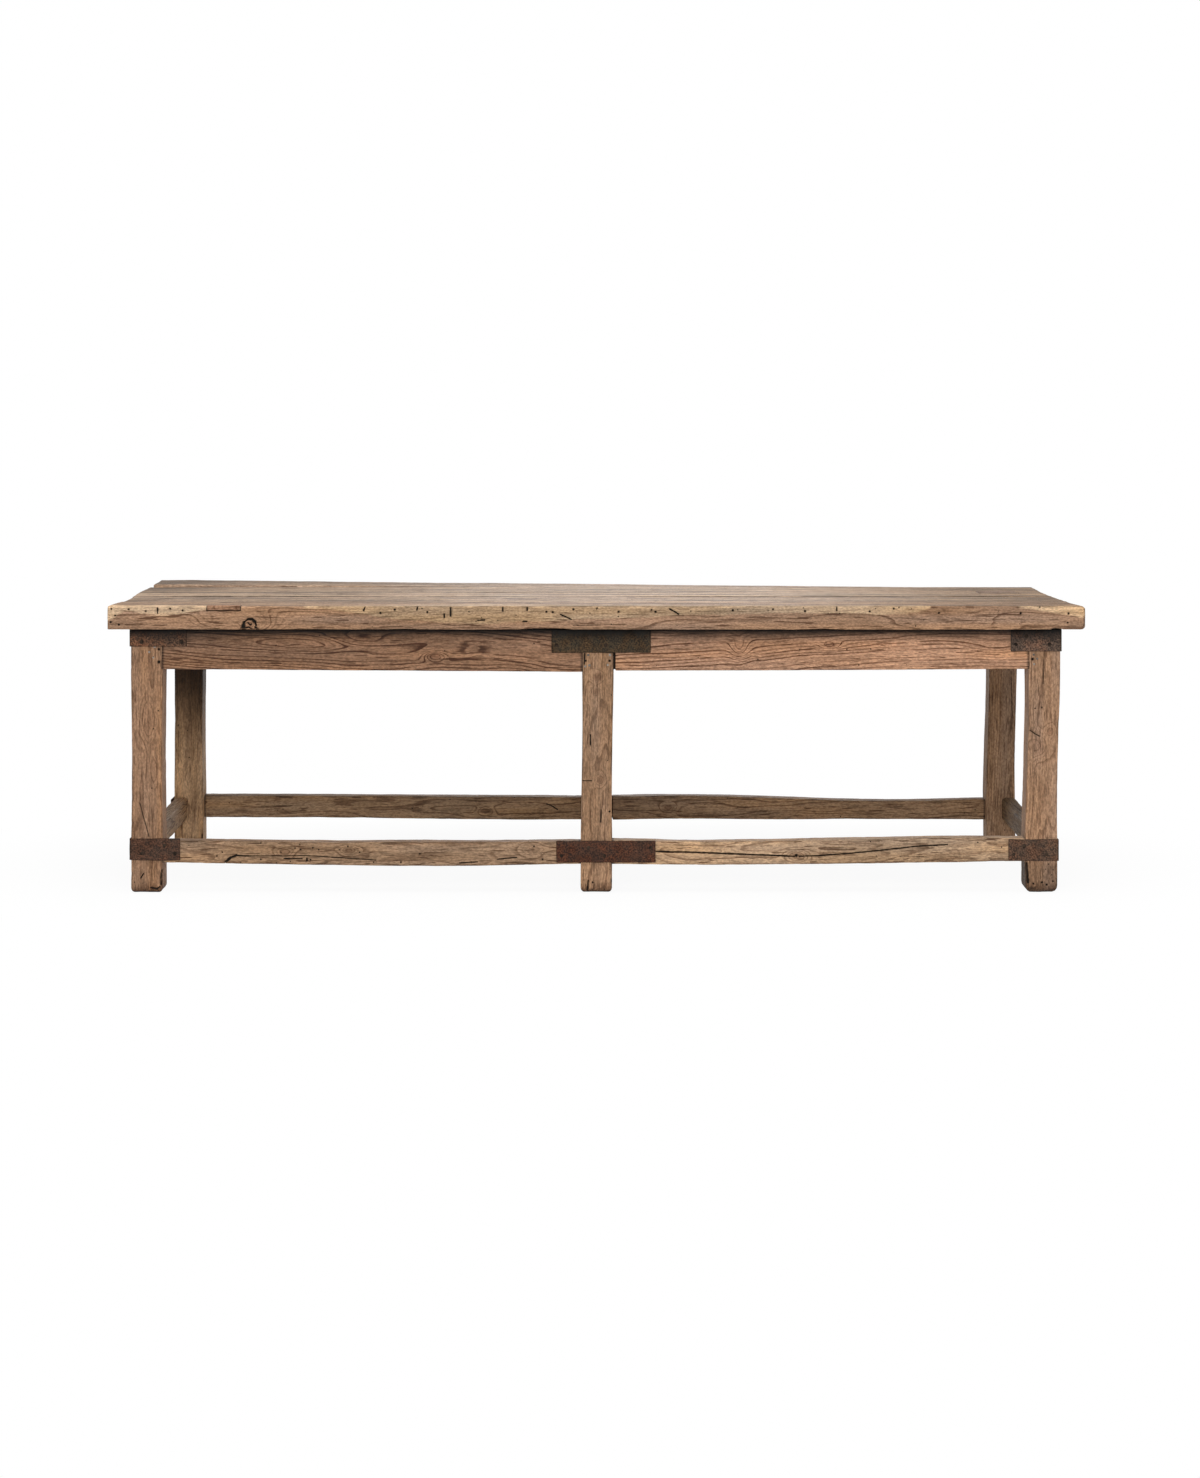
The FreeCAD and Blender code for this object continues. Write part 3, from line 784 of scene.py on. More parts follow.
KNOT_RIMS = [
    ([(-953, 717), (-952, 727)], 15), ([(-952, 727), (-950, 736)], 9),
    ([(-950, 736), (-940, 744)], 6), ([(-940, 744), (-928, 744)], 8),
    ([(-928, 744), (-920, 736)], 10), ([(-920, 736), (-918, 728)], 6),
    ([(-920, 722), (-914, 718)], 8),
]
KNOT_CRACKS = [[(-946, 720), (-938, 723), (-930, 719)], [(-940, 735), (-934, 728), (-930, 731)]]
EDGE_PATCH_SIDES = [(-1051, 781), (-1051, 767), (-960, 767), (-960, 781)]
EDGE_PATCH_BACK = [(-1051, -451), (-1051, -423), (-960, -423), (-960, -451)]
SEAM_PATCH_SIDES = [(1099, -9), (1211, -9), (1211, 89), (1099, 89), (1099, -9)]
PATCH_GAP = (3.4, 2.5)

PLANK_FRONT = Timber(
    X, (152, 119, 93), (3.6, 7, 3), (3, 2.5, 2.5, 6), 1, ends=(3, 13), sway=0.8, whole=True,
    pith=(40, -70), drift=(-20, 46), ring=6.5, warp=1.4, holes=26, cracks=5,
    marks=[front(path, 5, 4.5, TOP_EDGE) for path in EDGE_SLITS]
    + [front([place], 6.6, 5, TOP_EDGE) for place in EDGE_HOLES]
    + [front(path, 4.5, 4, TOP_EDGE) for path in KNOT_CRACKS]
    + [front(path, width, 6, TOP_EDGE) for path, width in KNOT_RIMS]
    + [front(EDGE_PATCH_SIDES, *PATCH_GAP, TOP_EDGE), Mark(Z, TOP_LEVEL, EDGE_PATCH_BACK, *PATCH_GAP)],
    knots=[
        front_knot((-936, 730), (52, 26), 7, 0, TOP_EDGE),
        front_knot((-936, 728), (11, 10), 3, 0.35, TOP_EDGE),
        front_knot((-1030, 742), (44, 22), 3.5, 0, TOP_EDGE),
        front_knot((980, 742), (80, 20), 2, 0.06, TOP_EDGE),
        front_knot((1130, 738), (70, 22), -1.5, 0, TOP_EDGE),
    ],
)
PLANK_PITCH = (6, 6, 7)
PLANK_ARRIS = (2.5, 2.5, 3, 3)
SEAM_PATCH_EDGE = Mark(Z, TOP_LEVEL, SEAM_PATCH_SIDES, *PATCH_GAP)


def plank(tone, seed, **more):
    """A plank of the top behind the front one."""
    settings = {"ends": (4, 5), "ring": 12, "whole": True, "holes": 24, "cracks": 14}
    return Timber(X, tone, PLANK_PITCH, PLANK_ARRIS, seed, **{**settings, **more})


TIMBERS = {
    "plank_second": plank((148, 123, 102), 2, pith=(-30, -120), drift=(60, 40)),
    "plank_third": plank(
        (155, 131, 110), 3, pith=(20, -90), drift=(-70, 30), marks=[SEAM_PATCH_EDGE],
    ),
    "plank_fourth": plank(
        (147, 122, 100), 4, pith=(50, -110), drift=(40, -50), marks=[SEAM_PATCH_EDGE],
    ),
    "plank_rear": plank((143, 117, 95), 5, pith=(-40, -80), drift=(50, 40)),
}

LEG_PITCH = (4, 4, 4)
LEG_ARRIS = (4, 4, 4, 4)


def leg(tone, seed, **more):
    """A leg with a worn foot."""
    settings = {"ends": (14, 2), "sway": 1, "pith": (18, 70), "whole": True}
    rings = {"ring": 7, "warp": 1.2, "figure": 0.6}
    return Timber(Z, tone, LEG_PITCH, LEG_ARRIS, seed, **{**settings, **rings, **more})


TIMBERS.update({
    "leg_front_left": leg(
        (141, 108, 82), 11, pith=(-24, 50), drift=(40, 20),
        marks=[
            front([(-1236, 244), (-1226, 205), (-1211, 152)], 2.6, 2.5),
            front([(-1184.5, 626)], 9, 3.4),
            front([(-1184.5, 661)], 9, 3.4),
            front([(-1176, 62), (-1179, 42), (-1178, 22)], 5, 4),
            front([(-1226, 52), (-1233, 40)], 3.6, 3),
            front([(-1206, 14), (-1190, 10), (-1182, 16)], 6, 4),
        ],
        knots=[
            front_knot((-1215, 470), (16, 44), 4, 0.15),
            front_knot((-1200, 330), (14, 36), 3, 0.1),
        ],
    ),
    "leg_front_middle": leg(
        (144, 113, 87), 12, drift=(-30, 30),
        marks=[
            front([(-30, 648), (-31, 621)], 5, 4),
            front([(-14, 428), (-14, 401)], 4.4, 4),
            front([(-35, 304), (-11, 304)], 3.4, 2.5),
            front([(15, 225), (14, 192)], 4, 3.5),
            front([(38, 220)], 6, 4),
            front([(38.5, 629)], 9, 3.4),
            front([(-26.5, 629)], 7, 3.4),
            front([(-20, 34), (-22, 8)], 5, 4),
            front([(-8, 28)], 6, 3),
        ],
        knots=[
            front_knot((5, 585), (13, 12), 4, 0.45),
            front_knot((1, 546), (9, 9), 3, 0.4),
            front_knot((14, 306), (10, 12), 3.5, 0.35),
        ],
    ),
    "leg_front_right": leg(
        (155, 122, 96), 13, pith=(30, 60), drift=(-30, 30), ends=(20, 2),
        marks=[
            front([(1185, 634)], 9, 3.4),
            front([(1192, 500)], 5, 3.5),
            front([(1210, 503)], 5, 3.5),
            front([(1178, 441), (1190, 432), (1203, 425)], 3.4, 2.5),
            front([(1168, 80), (1170, 55), (1173, 28)], 8, 5),
        ]
        + [front([place], 6, 3.5) for place in ((1187, 25), (1210, 29), (1223, 22), (1240, 31))],
        knots=[
            front_knot((1233, 439), (9, 12), 3, 0.35),
            front_knot((1198, 400), (20, 24), 5, 0.2),
        ],
    ),
    "leg_rear_left": leg((190, 152, 114), 14),
    "leg_rear_middle": leg((150, 119, 91), 15, pith=(-20, -60)),
    "leg_rear_right": leg((152, 120, 92), 16, pith=(24, -60)),
})

RAIL_PITCH = (4, 6, 4)
RAIL_ARRIS = (2.5, 2.5, 2, 2)


def apron(tone, seed, along=X, **more):
    """A deep rail under the top."""
    settings = {"ends": (0.6, 0.6), "sway": 0.7, "ring": 8.5, "warp": 1.2, "figure": 1.5}
    return Timber(along, tone, RAIL_PITCH, RAIL_ARRIS, seed, **{**settings, **more})


SHRINKAGE = 6
SHRINKAGE_DEPTH = 7


def shrunk_shoulder(x, front_face, thick, low, high):
    """The dark gap round a rail that has shrunk away from the leg on its left."""
    faces = front_face, front_face + thick
    upright = [(x, low), (x, high)]
    level = [(x, face) for face in faces]
    return [Mark(Y, face, upright, SHRINKAGE, SHRINKAGE_DEPTH) for face in faces] + [
        Mark(Z, height, level, SHRINKAGE, SHRINKAGE_DEPTH) for height in (low, high)
    ]


TIMBERS.update({
    "apron_front_left": apron(
        (131, 98, 74), 21, pith=(4, 18), drift=(30, -50), warp=1.3,
        knots=[
            front_knot((-436, 642), (20, 10), 4, 0.4),
            front_knot((-800, 678), (90, 15), -3.5, 0),
            front_knot((-335, 668), (60, 15), 1.4, 0.06),
            front_knot((-640, 690), (60, 13), 3, 0.12),
        ],
    ),
    "apron_front_right": apron(
        (157, 119, 92), 22, pith=(30, -120), drift=(-20, 60), warp=0.7, reach=(SHRINKAGE, 2),
        marks=shrunk_shoulder(51, FRAME_FRONT, 45, 602, 716),
        knots=[
            front_knot((390, 664), (16, 22), 4, 0.12),
            front_knot((634, 672), (18, 9), 3.5, 0.3),
            front_knot((1080, 667), (60, 16), 2.2, 0.06),
        ],
    ),
    "apron_rear_left": apron((136, 105, 81), 23, pith=(-60, 20)),
    "apron_rear_right": apron((140, 108, 84), 24, pith=(-50, -20)),
    "apron_end_left": apron((138, 106, 82), 25, Y, pith=(50, 20)),
    "apron_end_right": apron((146, 114, 89), 26, Y, pith=(-50, -15)),
    "cross_rail_middle": apron((126, 98, 76), 27, Y, pith=(-60, 20)),
})

STRETCHER_PITCH = (4, 4, 3.6)
STRETCHER_ARRIS = (5, 4, 6, 8)


def stretcher(tone, seed, along=X, **more):
    """A low rail that feet have worn."""
    settings = {"ends": (0.6, 0.6), "sway": 1.3, "pith": (50, 10), "holes": 14}
    rings = {"ring": 9, "warp": 2}
    return Timber(along, tone, STRETCHER_PITCH, STRETCHER_ARRIS, seed, **{**settings, **rings, **more})


STRETCHER_HOLES = [
    (-144, 91), (-1012, 110), (-1027, 100), (-908, 136), (-908, 91), (-853, 110), (-815, 121),
    (-802, 131), (-800, 117), (-767, 122), (-773, 90), (-963, 82), (-866, 80), (-751, 117), (-695, 117),
    (-672, 126), (-640, 110), (-602, 83), (-528, 83), (-477, 106), (-167, 126),
]
TIMBERS.update({
    "stretcher_front_left": stretcher(
        (146, 117, 90), 31, drift=(30, 24),
        marks=[
            front([(-974, 101), (-942, 100)], 4.4, 4),
            front([(-942, 100), (-850, 100), (-792, 101), (-720, 97), (-596, 89)], 2.8, 3),
            front([(-845, 93), (-796, 93)], 4, 3.5),
            front([(-266, 91), (-240, 94), (-214, 96)], 4, 4),
            front([(-369, 81), (-320, 84)], 4, 4),
            front([(-1003, 83), (-990, 95)], 9, 5),
            front([(-990, 95), (-974, 102)], 6.5, 5),
            front([(-783, 93), (-783, 87)], 6, 4),
        ]
        + [front([place], 5.2, 4) for place in STRETCHER_HOLES],
        knots=[
            front_knot((-843, 110), (18, 9), 3.5, 0.4),
            front_knot((-669, 115), (16, 8), 3.5, 0.35),
            front_knot((-171, 117), (20, 12), 3, 0.2),
        ],
    ),
    "stretcher_front_right": stretcher(
        (164, 135, 106), 32, drift=(-30, 30),
        marks=[
            front([(165, 112), (250, 110), (336, 107), (440, 103), (539, 99)], 5.4, 5.5),
            front([(552, 99), (607, 101), (690, 107), (762, 114), (867, 126), (954, 131)], 4.4, 5),
            front([(544, 101)], 10, 6),
        ],
        knots=[front_knot((546, 102), (22, 12), 4, 0.35)],
    ),
    "stretcher_rear_left": stretcher(
        (142, 114, 86), 33, pith=(-50, 10),
        marks=[front([(-148, 122), (-130, 114), (-115, 104)], 4, 4, REAR_RAIL_FRONT)],
        knots=[front_knot((-331, 101), (18, 9), 3.5, 0.4, REAR_RAIL_FRONT)],
    ),
    "stretcher_rear_right": stretcher(
        (138, 110, 83), 34, pith=(-40, 4), drift=(30, 10), reach=(SHRINKAGE, 2),
        marks=shrunk_shoulder(47, REAR_RAIL_FRONT, 50, 74, 142),
        knots=[front_knot((217, 110), (16, 9), 3.5, 0.4, REAR_RAIL_FRONT)],
    ),
    "stretcher_end_left": stretcher((152, 122, 92), 35, Y, pith=(50, 10)),
    # The right end stretcher's tone is darkened as painted shade.
    "stretcher_end_right": stretcher((97, 75, 51), 36, Y, pith=(-50, 10)),
    "stretcher_cross_middle": stretcher((128, 102, 79), 37, Y, pith=(-50, -10)),
})

# Sapwood shows above this line on the edge of the front plank, and none where the line is over the top
SAP_LINE = [
    (-1320, 738), (-1313, 742), (-1272, 766), (-1183, 754), (-1097, 761), (-1051, 770), (-1044, 800),
    (-812, 800), (-786, 776), (-689, 767), (-605, 753), (-529, 742), (-340, 731), (-178, 737),
    (-111, 740), (-16, 745), (65, 748), (186, 753), (281, 756), (416, 757), (524, 763), (686, 759),
    (767, 755), (862, 762), (902, 773), (918, 800), (1128, 800), (1145, 774), (1213, 765), (1253, 757),
    (1302, 750), (1320, 748),
]
SAP_SLOPE = 0.9
SAP_TONE = (196, 164, 129)
# Painted shade and light: how much of their tone the sapwood and the heart keep along the front edge,
# standing for light that falls unevenly along it.
SAP_PAINTED_SHADE = [(-1320, 0.95), (-1050, 0.9), (-600, 0.64), (0, 0.5), (300, 0.6), (700, 0.75), (1320, 0.92)]
HEART_PAINTED_SHADE = [
    (-1320, 1), (-800, 0.98), (-500, 0.86), (-100, 0.93), (400, 0.93), (900, 0.9), (1320, 0.87),
]
TOP_TONE = (141, 121, 100)
PLANK_TONE = (149, 123, 102)
UNDER_EDGE = 716
EDGE_WANES = [(-135, 75, 5), (1243, 16, 4), (-520, 40, 1.5), (620, 60, 1.5)]
SEAM_DIRT = 3.4
# A plank that lies this close to the top's front or rear edge has no seam there
FRONT_SLACK = 1
REAR_SLACK = 40
UPPER_FACE = (0.6, 0.95)
LEFT_END = (-1290, -980)
LEFT_END_DEPTH = (-50, 150)
RIGHT_END = (700, 1250)
RIGHT_END_SHADE = np.array([0.31, 0.35, 0.41])


def age_and_shade_top(points, normals, look):
    """Greys a plank's upper face, partly as weathering and partly as painted sheen, darkens its ends as
    painted shade where the sheen falls off, and fills the seams beside it with dirt.
    """
    # The greying stands partly for weathering and partly for painted sheen, the white light that the top
    # reflects.
    up = step(normals[:, Z], *UPPER_FACE)[:, None]
    grey = linear(TOP_TONE) * (look.tone.mean(axis=1) / linear(PLANK_TONE).mean())[:, None]
    look.tone += 0.5 * up * (grey - look.tone)
    bands = 0.28 * lumps(points, (700, 30, 60), 310) + 0.25 * lumps(points, (260, 22, 60), 311)
    bands += 0.12 * lumps(points, (13, 30, 60), 312)
    look.tone *= 1 + up * bands[:, None]
    # Painted shade: the top darker and browner towards its ends, where the sheen falls off.
    look.tone *= 1 - up * step(points[:, X], *RIGHT_END)[:, None] * RIGHT_END_SHADE
    left = (1 - step(points[:, X], *LEFT_END)) * step(points[:, Y], *LEFT_END_DEPTH)
    look.tone *= 1 - 0.4 * up * left[:, None]
    low, high = points[:, Y].min(), points[:, Y].max()
    near = np.minimum(
        points[:, Y] - low if low > TOP_EDGE + FRONT_SLACK else np.inf,
        high - points[:, Y] if high < -TOP_EDGE - REAR_SLACK else np.inf,
    )
    wide = SEAM_DIRT * (1 + 0.7 * lumps(points, (70, 30, 30), 304))
    dirt = (1 - step(near, wide * 0.4, wide)) * step(normals[:, Z], 0.1, 0.4)
    look.pit = np.maximum(look.pit, 0.85 * dirt)
    look.worm = np.where(normals[:, Z] > 0.7, 0.14, look.worm)


PROUD_RUN = (-900, -100)
PROUD_ARRIS = (6, 9)


def age_and_light_rear_plank(points, normals, look):
    """The rear plank, browner at its left, where its arris stands proud: the seam dirt is taken off that
    arris and its face is lightened as painted light.
    """
    age_and_shade_top(points, normals, look)
    left = 1 - step(points[:, X], *PROUD_RUN)
    arris = left * (1 - step(points[:, Y] - points[:, Y].min(), *PROUD_ARRIS))
    look.pit *= 1 - 0.85 * arris
    # Painted light: the proud arris is lightened against the shade in its corner.
    look.tone *= 1 + (0.8 * arris - 0.2 * left)[:, None]


def age_and_shade_front_plank(points, normals, look):
    """Sapwood along the front plank's edge, with more worm holes than the heart, and painted shade along
    its length.
    """
    line = np.interp(points[:, X], *np.array(SAP_LINE, float).T)
    light = np.interp(points[:, X], *np.array(SAP_PAINTED_SHADE).T)[:, None]
    rise = points[:, Z] - line - SAP_SLOPE * (points[:, Y] - TOP_EDGE)
    ragged = 2.4 * lumps(points, (60, 9, 9), 303) + 1.2 * lumps(points, (14, 5, 5), 305)
    sap = step(rise + ragged, -2.4, 2.4)
    pale = linear(SAP_TONE) * light * (look.tone / look.tone.mean(axis=0))
    look.tone *= np.interp(points[:, X], *np.array(HEART_PAINTED_SHADE).T)[:, None]
    look.tone += sap[:, None] * (pale - look.tone)
    look.figure *= 1 - 0.5 * sap
    look.worm = np.maximum(look.worm, 0.5 * sap)
    age_and_shade_top(points, normals, look)


JOINT_DIRT = (3, 7.5)


def joint_dirt(points, normals, look):
    """Dirt where a rail meets the legs."""
    along = points[:, np.ptp(points, axis=0).argmax()]
    near = np.minimum(along - along.min(), along.max() - along)
    look.tone *= 0.2 + 0.8 * step(near, *JOINT_DIRT)[:, None]


UNDER_TOP_SHADE_DEPTHS = (1, 42)


def under_top_shade_and_grime(points):
    """How much a face close under the planks is darkened: painted shade under the overhang of the top,
    with the dirt there.
    """
    ragged = 1 + 0.2 * lumps(points, (90, 20, 20), 306)
    below = (UNDER_EDGE - points[:, Z]) / ragged
    return 0.02 + 0.98 * step(below, *UNDER_TOP_SHADE_DEPTHS)[:, None]


def age_and_shade_apron(points, normals, look):
    """Painted shade with dirt along an apron's upper edge, under the top, and dirt at its ends."""
    look.tone *= under_top_shade_and_grime(points)
    joint_dirt(points, normals, look)


FADED_RUN = (450, 950)


def faded_apron(points, normals, look):
    """An apron that light has faded towards its right end."""
    far = step(points[:, X], *FADED_RUN)
    look.tone *= 1 + 0.32 * far[:, None]
    look.figure *= 1 - 0.3 * far
    age_and_shade_apron(points, normals, look)


FOOT_DIRT = 30
FOOT_CHIPS = (30, 80)
FOOT_CONTACT_SHADE = (1.5, 6)
FOOT_WORM = (40, 110)
FOOT_STAIN = (70, 95)
TOP_SHADE_RISE = (190, 530)


def dirty_shaded_foot(points, normals, look):
    """Dirt, chips and worm holes round the foot of a leg, a dark line along its lowest edge painted as
    the shadow where it meets the floor, and painted shade with dirt under the top.
    """
    ragged = FOOT_DIRT * (1 + 0.7 * lumps(points, (18, 18, 22), 307))
    low = 1 - step(points[:, Z], 0, ragged)
    look.tone *= 1 - 0.65 * low[:, None] * np.array([0.9, 1, 1.05])
    chipped = step(lumps(points, 11, 308), 0.1, 0.5) * step(slant(normals), 0.15, 0.5)
    look.pit = np.maximum(look.pit, 0.8 * chipped * (1 - step(points[:, Z], *FOOT_CHIPS)))
    # Painted contact shadow: a dark line along the foot's lowest few millimetres.
    look.pit = np.maximum(look.pit, 0.9 * (1 - step(points[:, Z], *FOOT_CONTACT_SHADE)))
    look.worm = np.maximum(look.worm, 0.4 * (1 - step(points[:, Z], *FOOT_WORM)))
    # Painted shade under the top, with dirt.
    look.tone *= under_top_shade_and_grime(points)


def wet_and_side_shaded_foot(points, normals, look):
    """A foot that water has darkened up to the strap, with painted shade on its left side face."""
    low = 1 - step(points[:, Z], *FOOT_STAIN)[:, None]
    look.tone *= 1 - 0.38 * low
    # Painted shade on the foot's left side face.
    look.tone *= 1 - 0.65 * low * step(-normals[:, X], 0.3, 0.8)[:, None]
    dirty_shaded_foot(points, normals, look)


def scrubbed_foot(points, normals, look):
    """A foot that mopping has kept pale up to the strap."""
    look.tone *= 1.22 - 0.22 * step(points[:, Z], *FOOT_STAIN)[:, None]
    dirty_shaded_foot(points, normals, look)


def top_shaded_leg(points, normals, look):
    """A leg darkened towards its top: painted shade under the table's top."""
    look.tone *= 1 - 0.95 * step(points[:, Z], *TOP_SHADE_RISE)[:, None] * np.array([0.985, 1, 1.015])
    dirty_shaded_foot(points, normals, look)


END_SPREAD = 6.5
SPREAD_RUN = (1180, 1310)
SPREAD_DEPTH = (-440, -350)
WANE_HEIGHT = 16
WANE_DEPTH = (-432, -425)


def wane_edge(points, start):
    """Hollows and chips along the lower edge of the front plank, and its right end a little longer."""
    low = 1 - step(start[:, Z], UNDER_EDGE, UNDER_EDGE + WANE_HEIGHT)
    low *= 1 - step(start[:, Y], *WANE_DEPTH)
    for place, half, rise in EDGE_WANES:
        bay = np.clip(1 - ((start[:, X] - place) / half) ** 2, 0, 1)
        points[:, Z] += rise * bay * low
    end = step(start[:, X], *SPREAD_RUN) * (1 - step(start[:, Y], *SPREAD_DEPTH))
    points[:, X] += END_SPREAD * end


wood = old_timber()
AGE_AND_SHADE = {
    "plank": age_and_shade_top,
    "apron": age_and_shade_apron,
    "leg": dirty_shaded_foot,
    "stretcher": joint_dirt,
    "cross": joint_dirt,
}
ODD_AGE_AND_SHADE = {
    "plank_rear": age_and_light_rear_plank,
    "leg_front_middle": scrubbed_foot,
    "leg_front_right": wet_and_side_shaded_foot,
    "leg_rear_left": top_shaded_leg,
    "apron_front_right": faded_apron,
}
make_timber("plank_front", PLANK_FRONT, wood, wane_edge, age_and_shade_front_plank)
for name, timber in TIMBERS.items():
    make_timber(name, timber, wood, colour=ODD_AGE_AND_SHADE.get(name, AGE_AND_SHADE[name.split("_")[0]]))


# Repair blocks, which stand a little proud of the planks

PATCH_RISE = 0.7


def proud(points, start):
    """Lifts a repair block out of its pocket, towards the front and up."""
    points += np.array([0, -PATCH_RISE, PATCH_RISE])


PATCHES = {
    "edge_patch": Timber(
        X, (146, 110, 84), (2, 2, 2), (1, 1, 1, 1.5), 41, ends=(1, 1), sway=0.3,
        pith=(30, -60), ring=7, whole=True, holes=2, cracks=1,
    ),
    "seam_patch": Timber(
        X, (112, 88, 70), (3, 3, 3), (1, 1, 1, 1), 42, ends=(1, 1), sway=0.3,
        pith=(10, -80), ring=7, whole=True, holes=3, cracks=1,
    ),
}
for name, timber in PATCHES.items():
    make_timber(name, timber, wood, proud)


# Straps

STRAP_TONES = {
    "strap_upper_front_left": (94, 69, 52),
    "strap_upper_front_middle": (61, 50, 35),
    "strap_upper_front_right": (92, 74, 62),
    "strap_lower_front_left": (72, 53, 42),
    "strap_lower_front_middle": (69, 45, 33),
    "strap_lower_front_right": (84, 65, 52),
}
OTHER_STRAP_TONE = (76, 57, 45)
STRAP_VOXEL = 1.9
STRAP_SEED = 400
STRAP_SEED_STEP = 10


def forge_strap(name, seed, finish):
    """An iron strap with hammered faces and uneven edges."""
    mesh = NODES[name].data.copy()
    shape = welded(mesh)
    shape.to_mesh(mesh)
    shape.free()
    blank = add_object(name + "_blank", mesh)
    remesh = blank.modifiers.new("even_grid", "REMESH")
    remesh.mode = "VOXEL"
    remesh.voxel_size = STRAP_VOXEL * MM
    fine = bpy.data.meshes.new_from_object(blank.evaluated_get(bpy.context.evaluated_depsgraph_get()))
    bpy.data.objects.remove(blank)
    fine.materials.clear()
    points, normals = read_points(fine)
    dents = 0.3 * lumps(points, 24, seed) + 0.14 * lumps(points, 7, seed + 1)
    wave = 0.9 * lumps(points, 45, seed + 2) + 0.4 * lumps(points, 13, seed + 3)
    tone = np.repeat(linear(STRAP_TONES.get(name, OTHER_STRAP_TONE))[None], len(points), axis=0)
    tone *= 1 + 0.22 * lumps(points, 30, seed + 4)[:, None]
    rim = step(slant(normals), 0.25, 0.6)[:, None]
    tone *= 1 - rim * (0.6 + 0.3 * lumps(points, 26, seed + 5)[:, None])
    # Painted shade under the top, with dirt.
    tone *= under_top_shade_and_grime(points)
    points += normals * dents[:, None]
    points[:, Z] += wave
    store_tone(fine, tone)
    fine.vertices.foreach_set("co", (points * MM).ravel())
    fine.update()
    show(name, fine, finish)


iron = rusted_iron()
straps = [name for name in sorted(NODES) if SLOTS[name] == "strap_iron"]
for count, name in enumerate(straps):
    forge_strap(name, STRAP_SEED + STRAP_SEED_STEP * count, iron)


# Nails


def nail_tree():
    """Forged heads on points: faceted, turned and sized at random, with the tip towards facing."""
    tree = bpy.data.node_groups.new("forged_heads", "GeometryNodeTree")
    for name, kind in (
        ("Points", "NodeSocketGeometry"),
        ("Head radius", "NodeSocketFloat"),
        ("Head height", "NodeSocketFloat"),
        ("Facets", "NodeSocketInt"),
        ("Seed", "NodeSocketInt"),
        ("Iron", "NodeSocketMaterial"),
    ):
        tree.interface.new_socket(name, in_out="INPUT", socket_type=kind)
    tree.interface.new_socket("Nails", in_out="OUTPUT", socket_type="NodeSocketGeometry")
    graph = Graph(tree)
    given = tree.nodes.new("NodeGroupInput")
    radius, height, facets, seed, iron = (Number(graph, given.outputs[i]) for i in range(1, 6))
    head = graph.node("GeometryNodeMeshCone", {
        "Vertices": facets,
        "Radius Top": radius * 0.4,
        "Radius Bottom": radius,
        "Depth": height,
    })
    facing = graph.node("GeometryNodeInputNamedAttribute", {"Name": "facing"}, data_type="FLOAT_VECTOR")
    turn = graph.node("FunctionNodeRandomValue", {2: 0, 3: math.tau, "Seed": seed}, 1)
    size = graph.node("FunctionNodeRandomValue", {2: 0.82, 3: 1.18, "Seed": seed + 1}, 1)
    spin = graph.node("FunctionNodeAxisAngleToRotation", {"Axis": (0, 0, 1), "Angle": turn})
    aim = graph.node("FunctionNodeAlignRotationToVector", {"Vector": facing}, axis="Z")
    turns = {"Rotation": aim, "Rotate By": spin}
    turned = graph.node("FunctionNodeRotateRotation", turns, rotation_space="LOCAL")
    placed = graph.node("GeometryNodeInstanceOnPoints", {
        "Points": Number(graph, given.outputs[0]),
        "Instance": head,
        "Rotation": turned,
        "Scale": size,
    })
    real = graph.node("GeometryNodeRealizeInstances", {"Geometry": placed})
    dressed = graph.node("GeometryNodeSetMaterial", {"Geometry": real, "Material": iron})
    graph.node("NodeGroupOutput", {0: dressed})
    return tree


def drive_nails(name, tree, places, facings, sizes, finish):
    """A piece made of nail heads at places in millimetres."""
    mesh = bpy.data.meshes.new(name)
    mesh.from_pydata(np.asarray(places) * MM, [], [])
    store(mesh, "facing", np.asarray(facings, float))
    piece = add_object(name, mesh)
    nodes = piece.modifiers.new("heads", "NODES")
    nodes.node_group = tree
    given = {**sizes, "Iron": finish}
    for item in tree.interface.items_tree:
        if item.name in given:
            nodes[item.identifier] = given[item.name]
    made = bpy.data.meshes.new_from_object(piece.evaluated_get(bpy.context.evaluated_depsgraph_get()))
    piece.modifiers.remove(nodes)
    piece.data = made
    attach(piece, "root")
    return piece


def solid_nails():
    """The middle of each nail's head where it meets its strap, and the way that it faces."""
    shape = welded(NODES["strap_nails"].data)
    left = set(shape.verts)
    places, facings = [], []
    while left:
        found = [left.pop()]
        for vert in found:
            for edge in vert.link_edges:
                other = edge.other_vert(vert)
                if other in left:
                    left.remove(other)
                    found.append(other)
        points = np.array([vert.co[:] for vert in found]) / MM
        along = int(np.argmax(np.ptp(points, axis=0)))
        middle = (points.max(axis=0) + points.min(axis=0)) / 2
        off = np.linalg.norm(np.delete(points - middle, along, axis=1), axis=1)
        base = points[off > off.max() - 0.4].mean(axis=0)
        facing = np.zeros(3)
        facing[along] = np.sign(base[along] - middle[along])
        places.append(base)
        facings.append(facing)
    shape.free()
    order = np.lexsort(np.array(places).T)
    return np.array(places)[order], np.array(facings)[order]


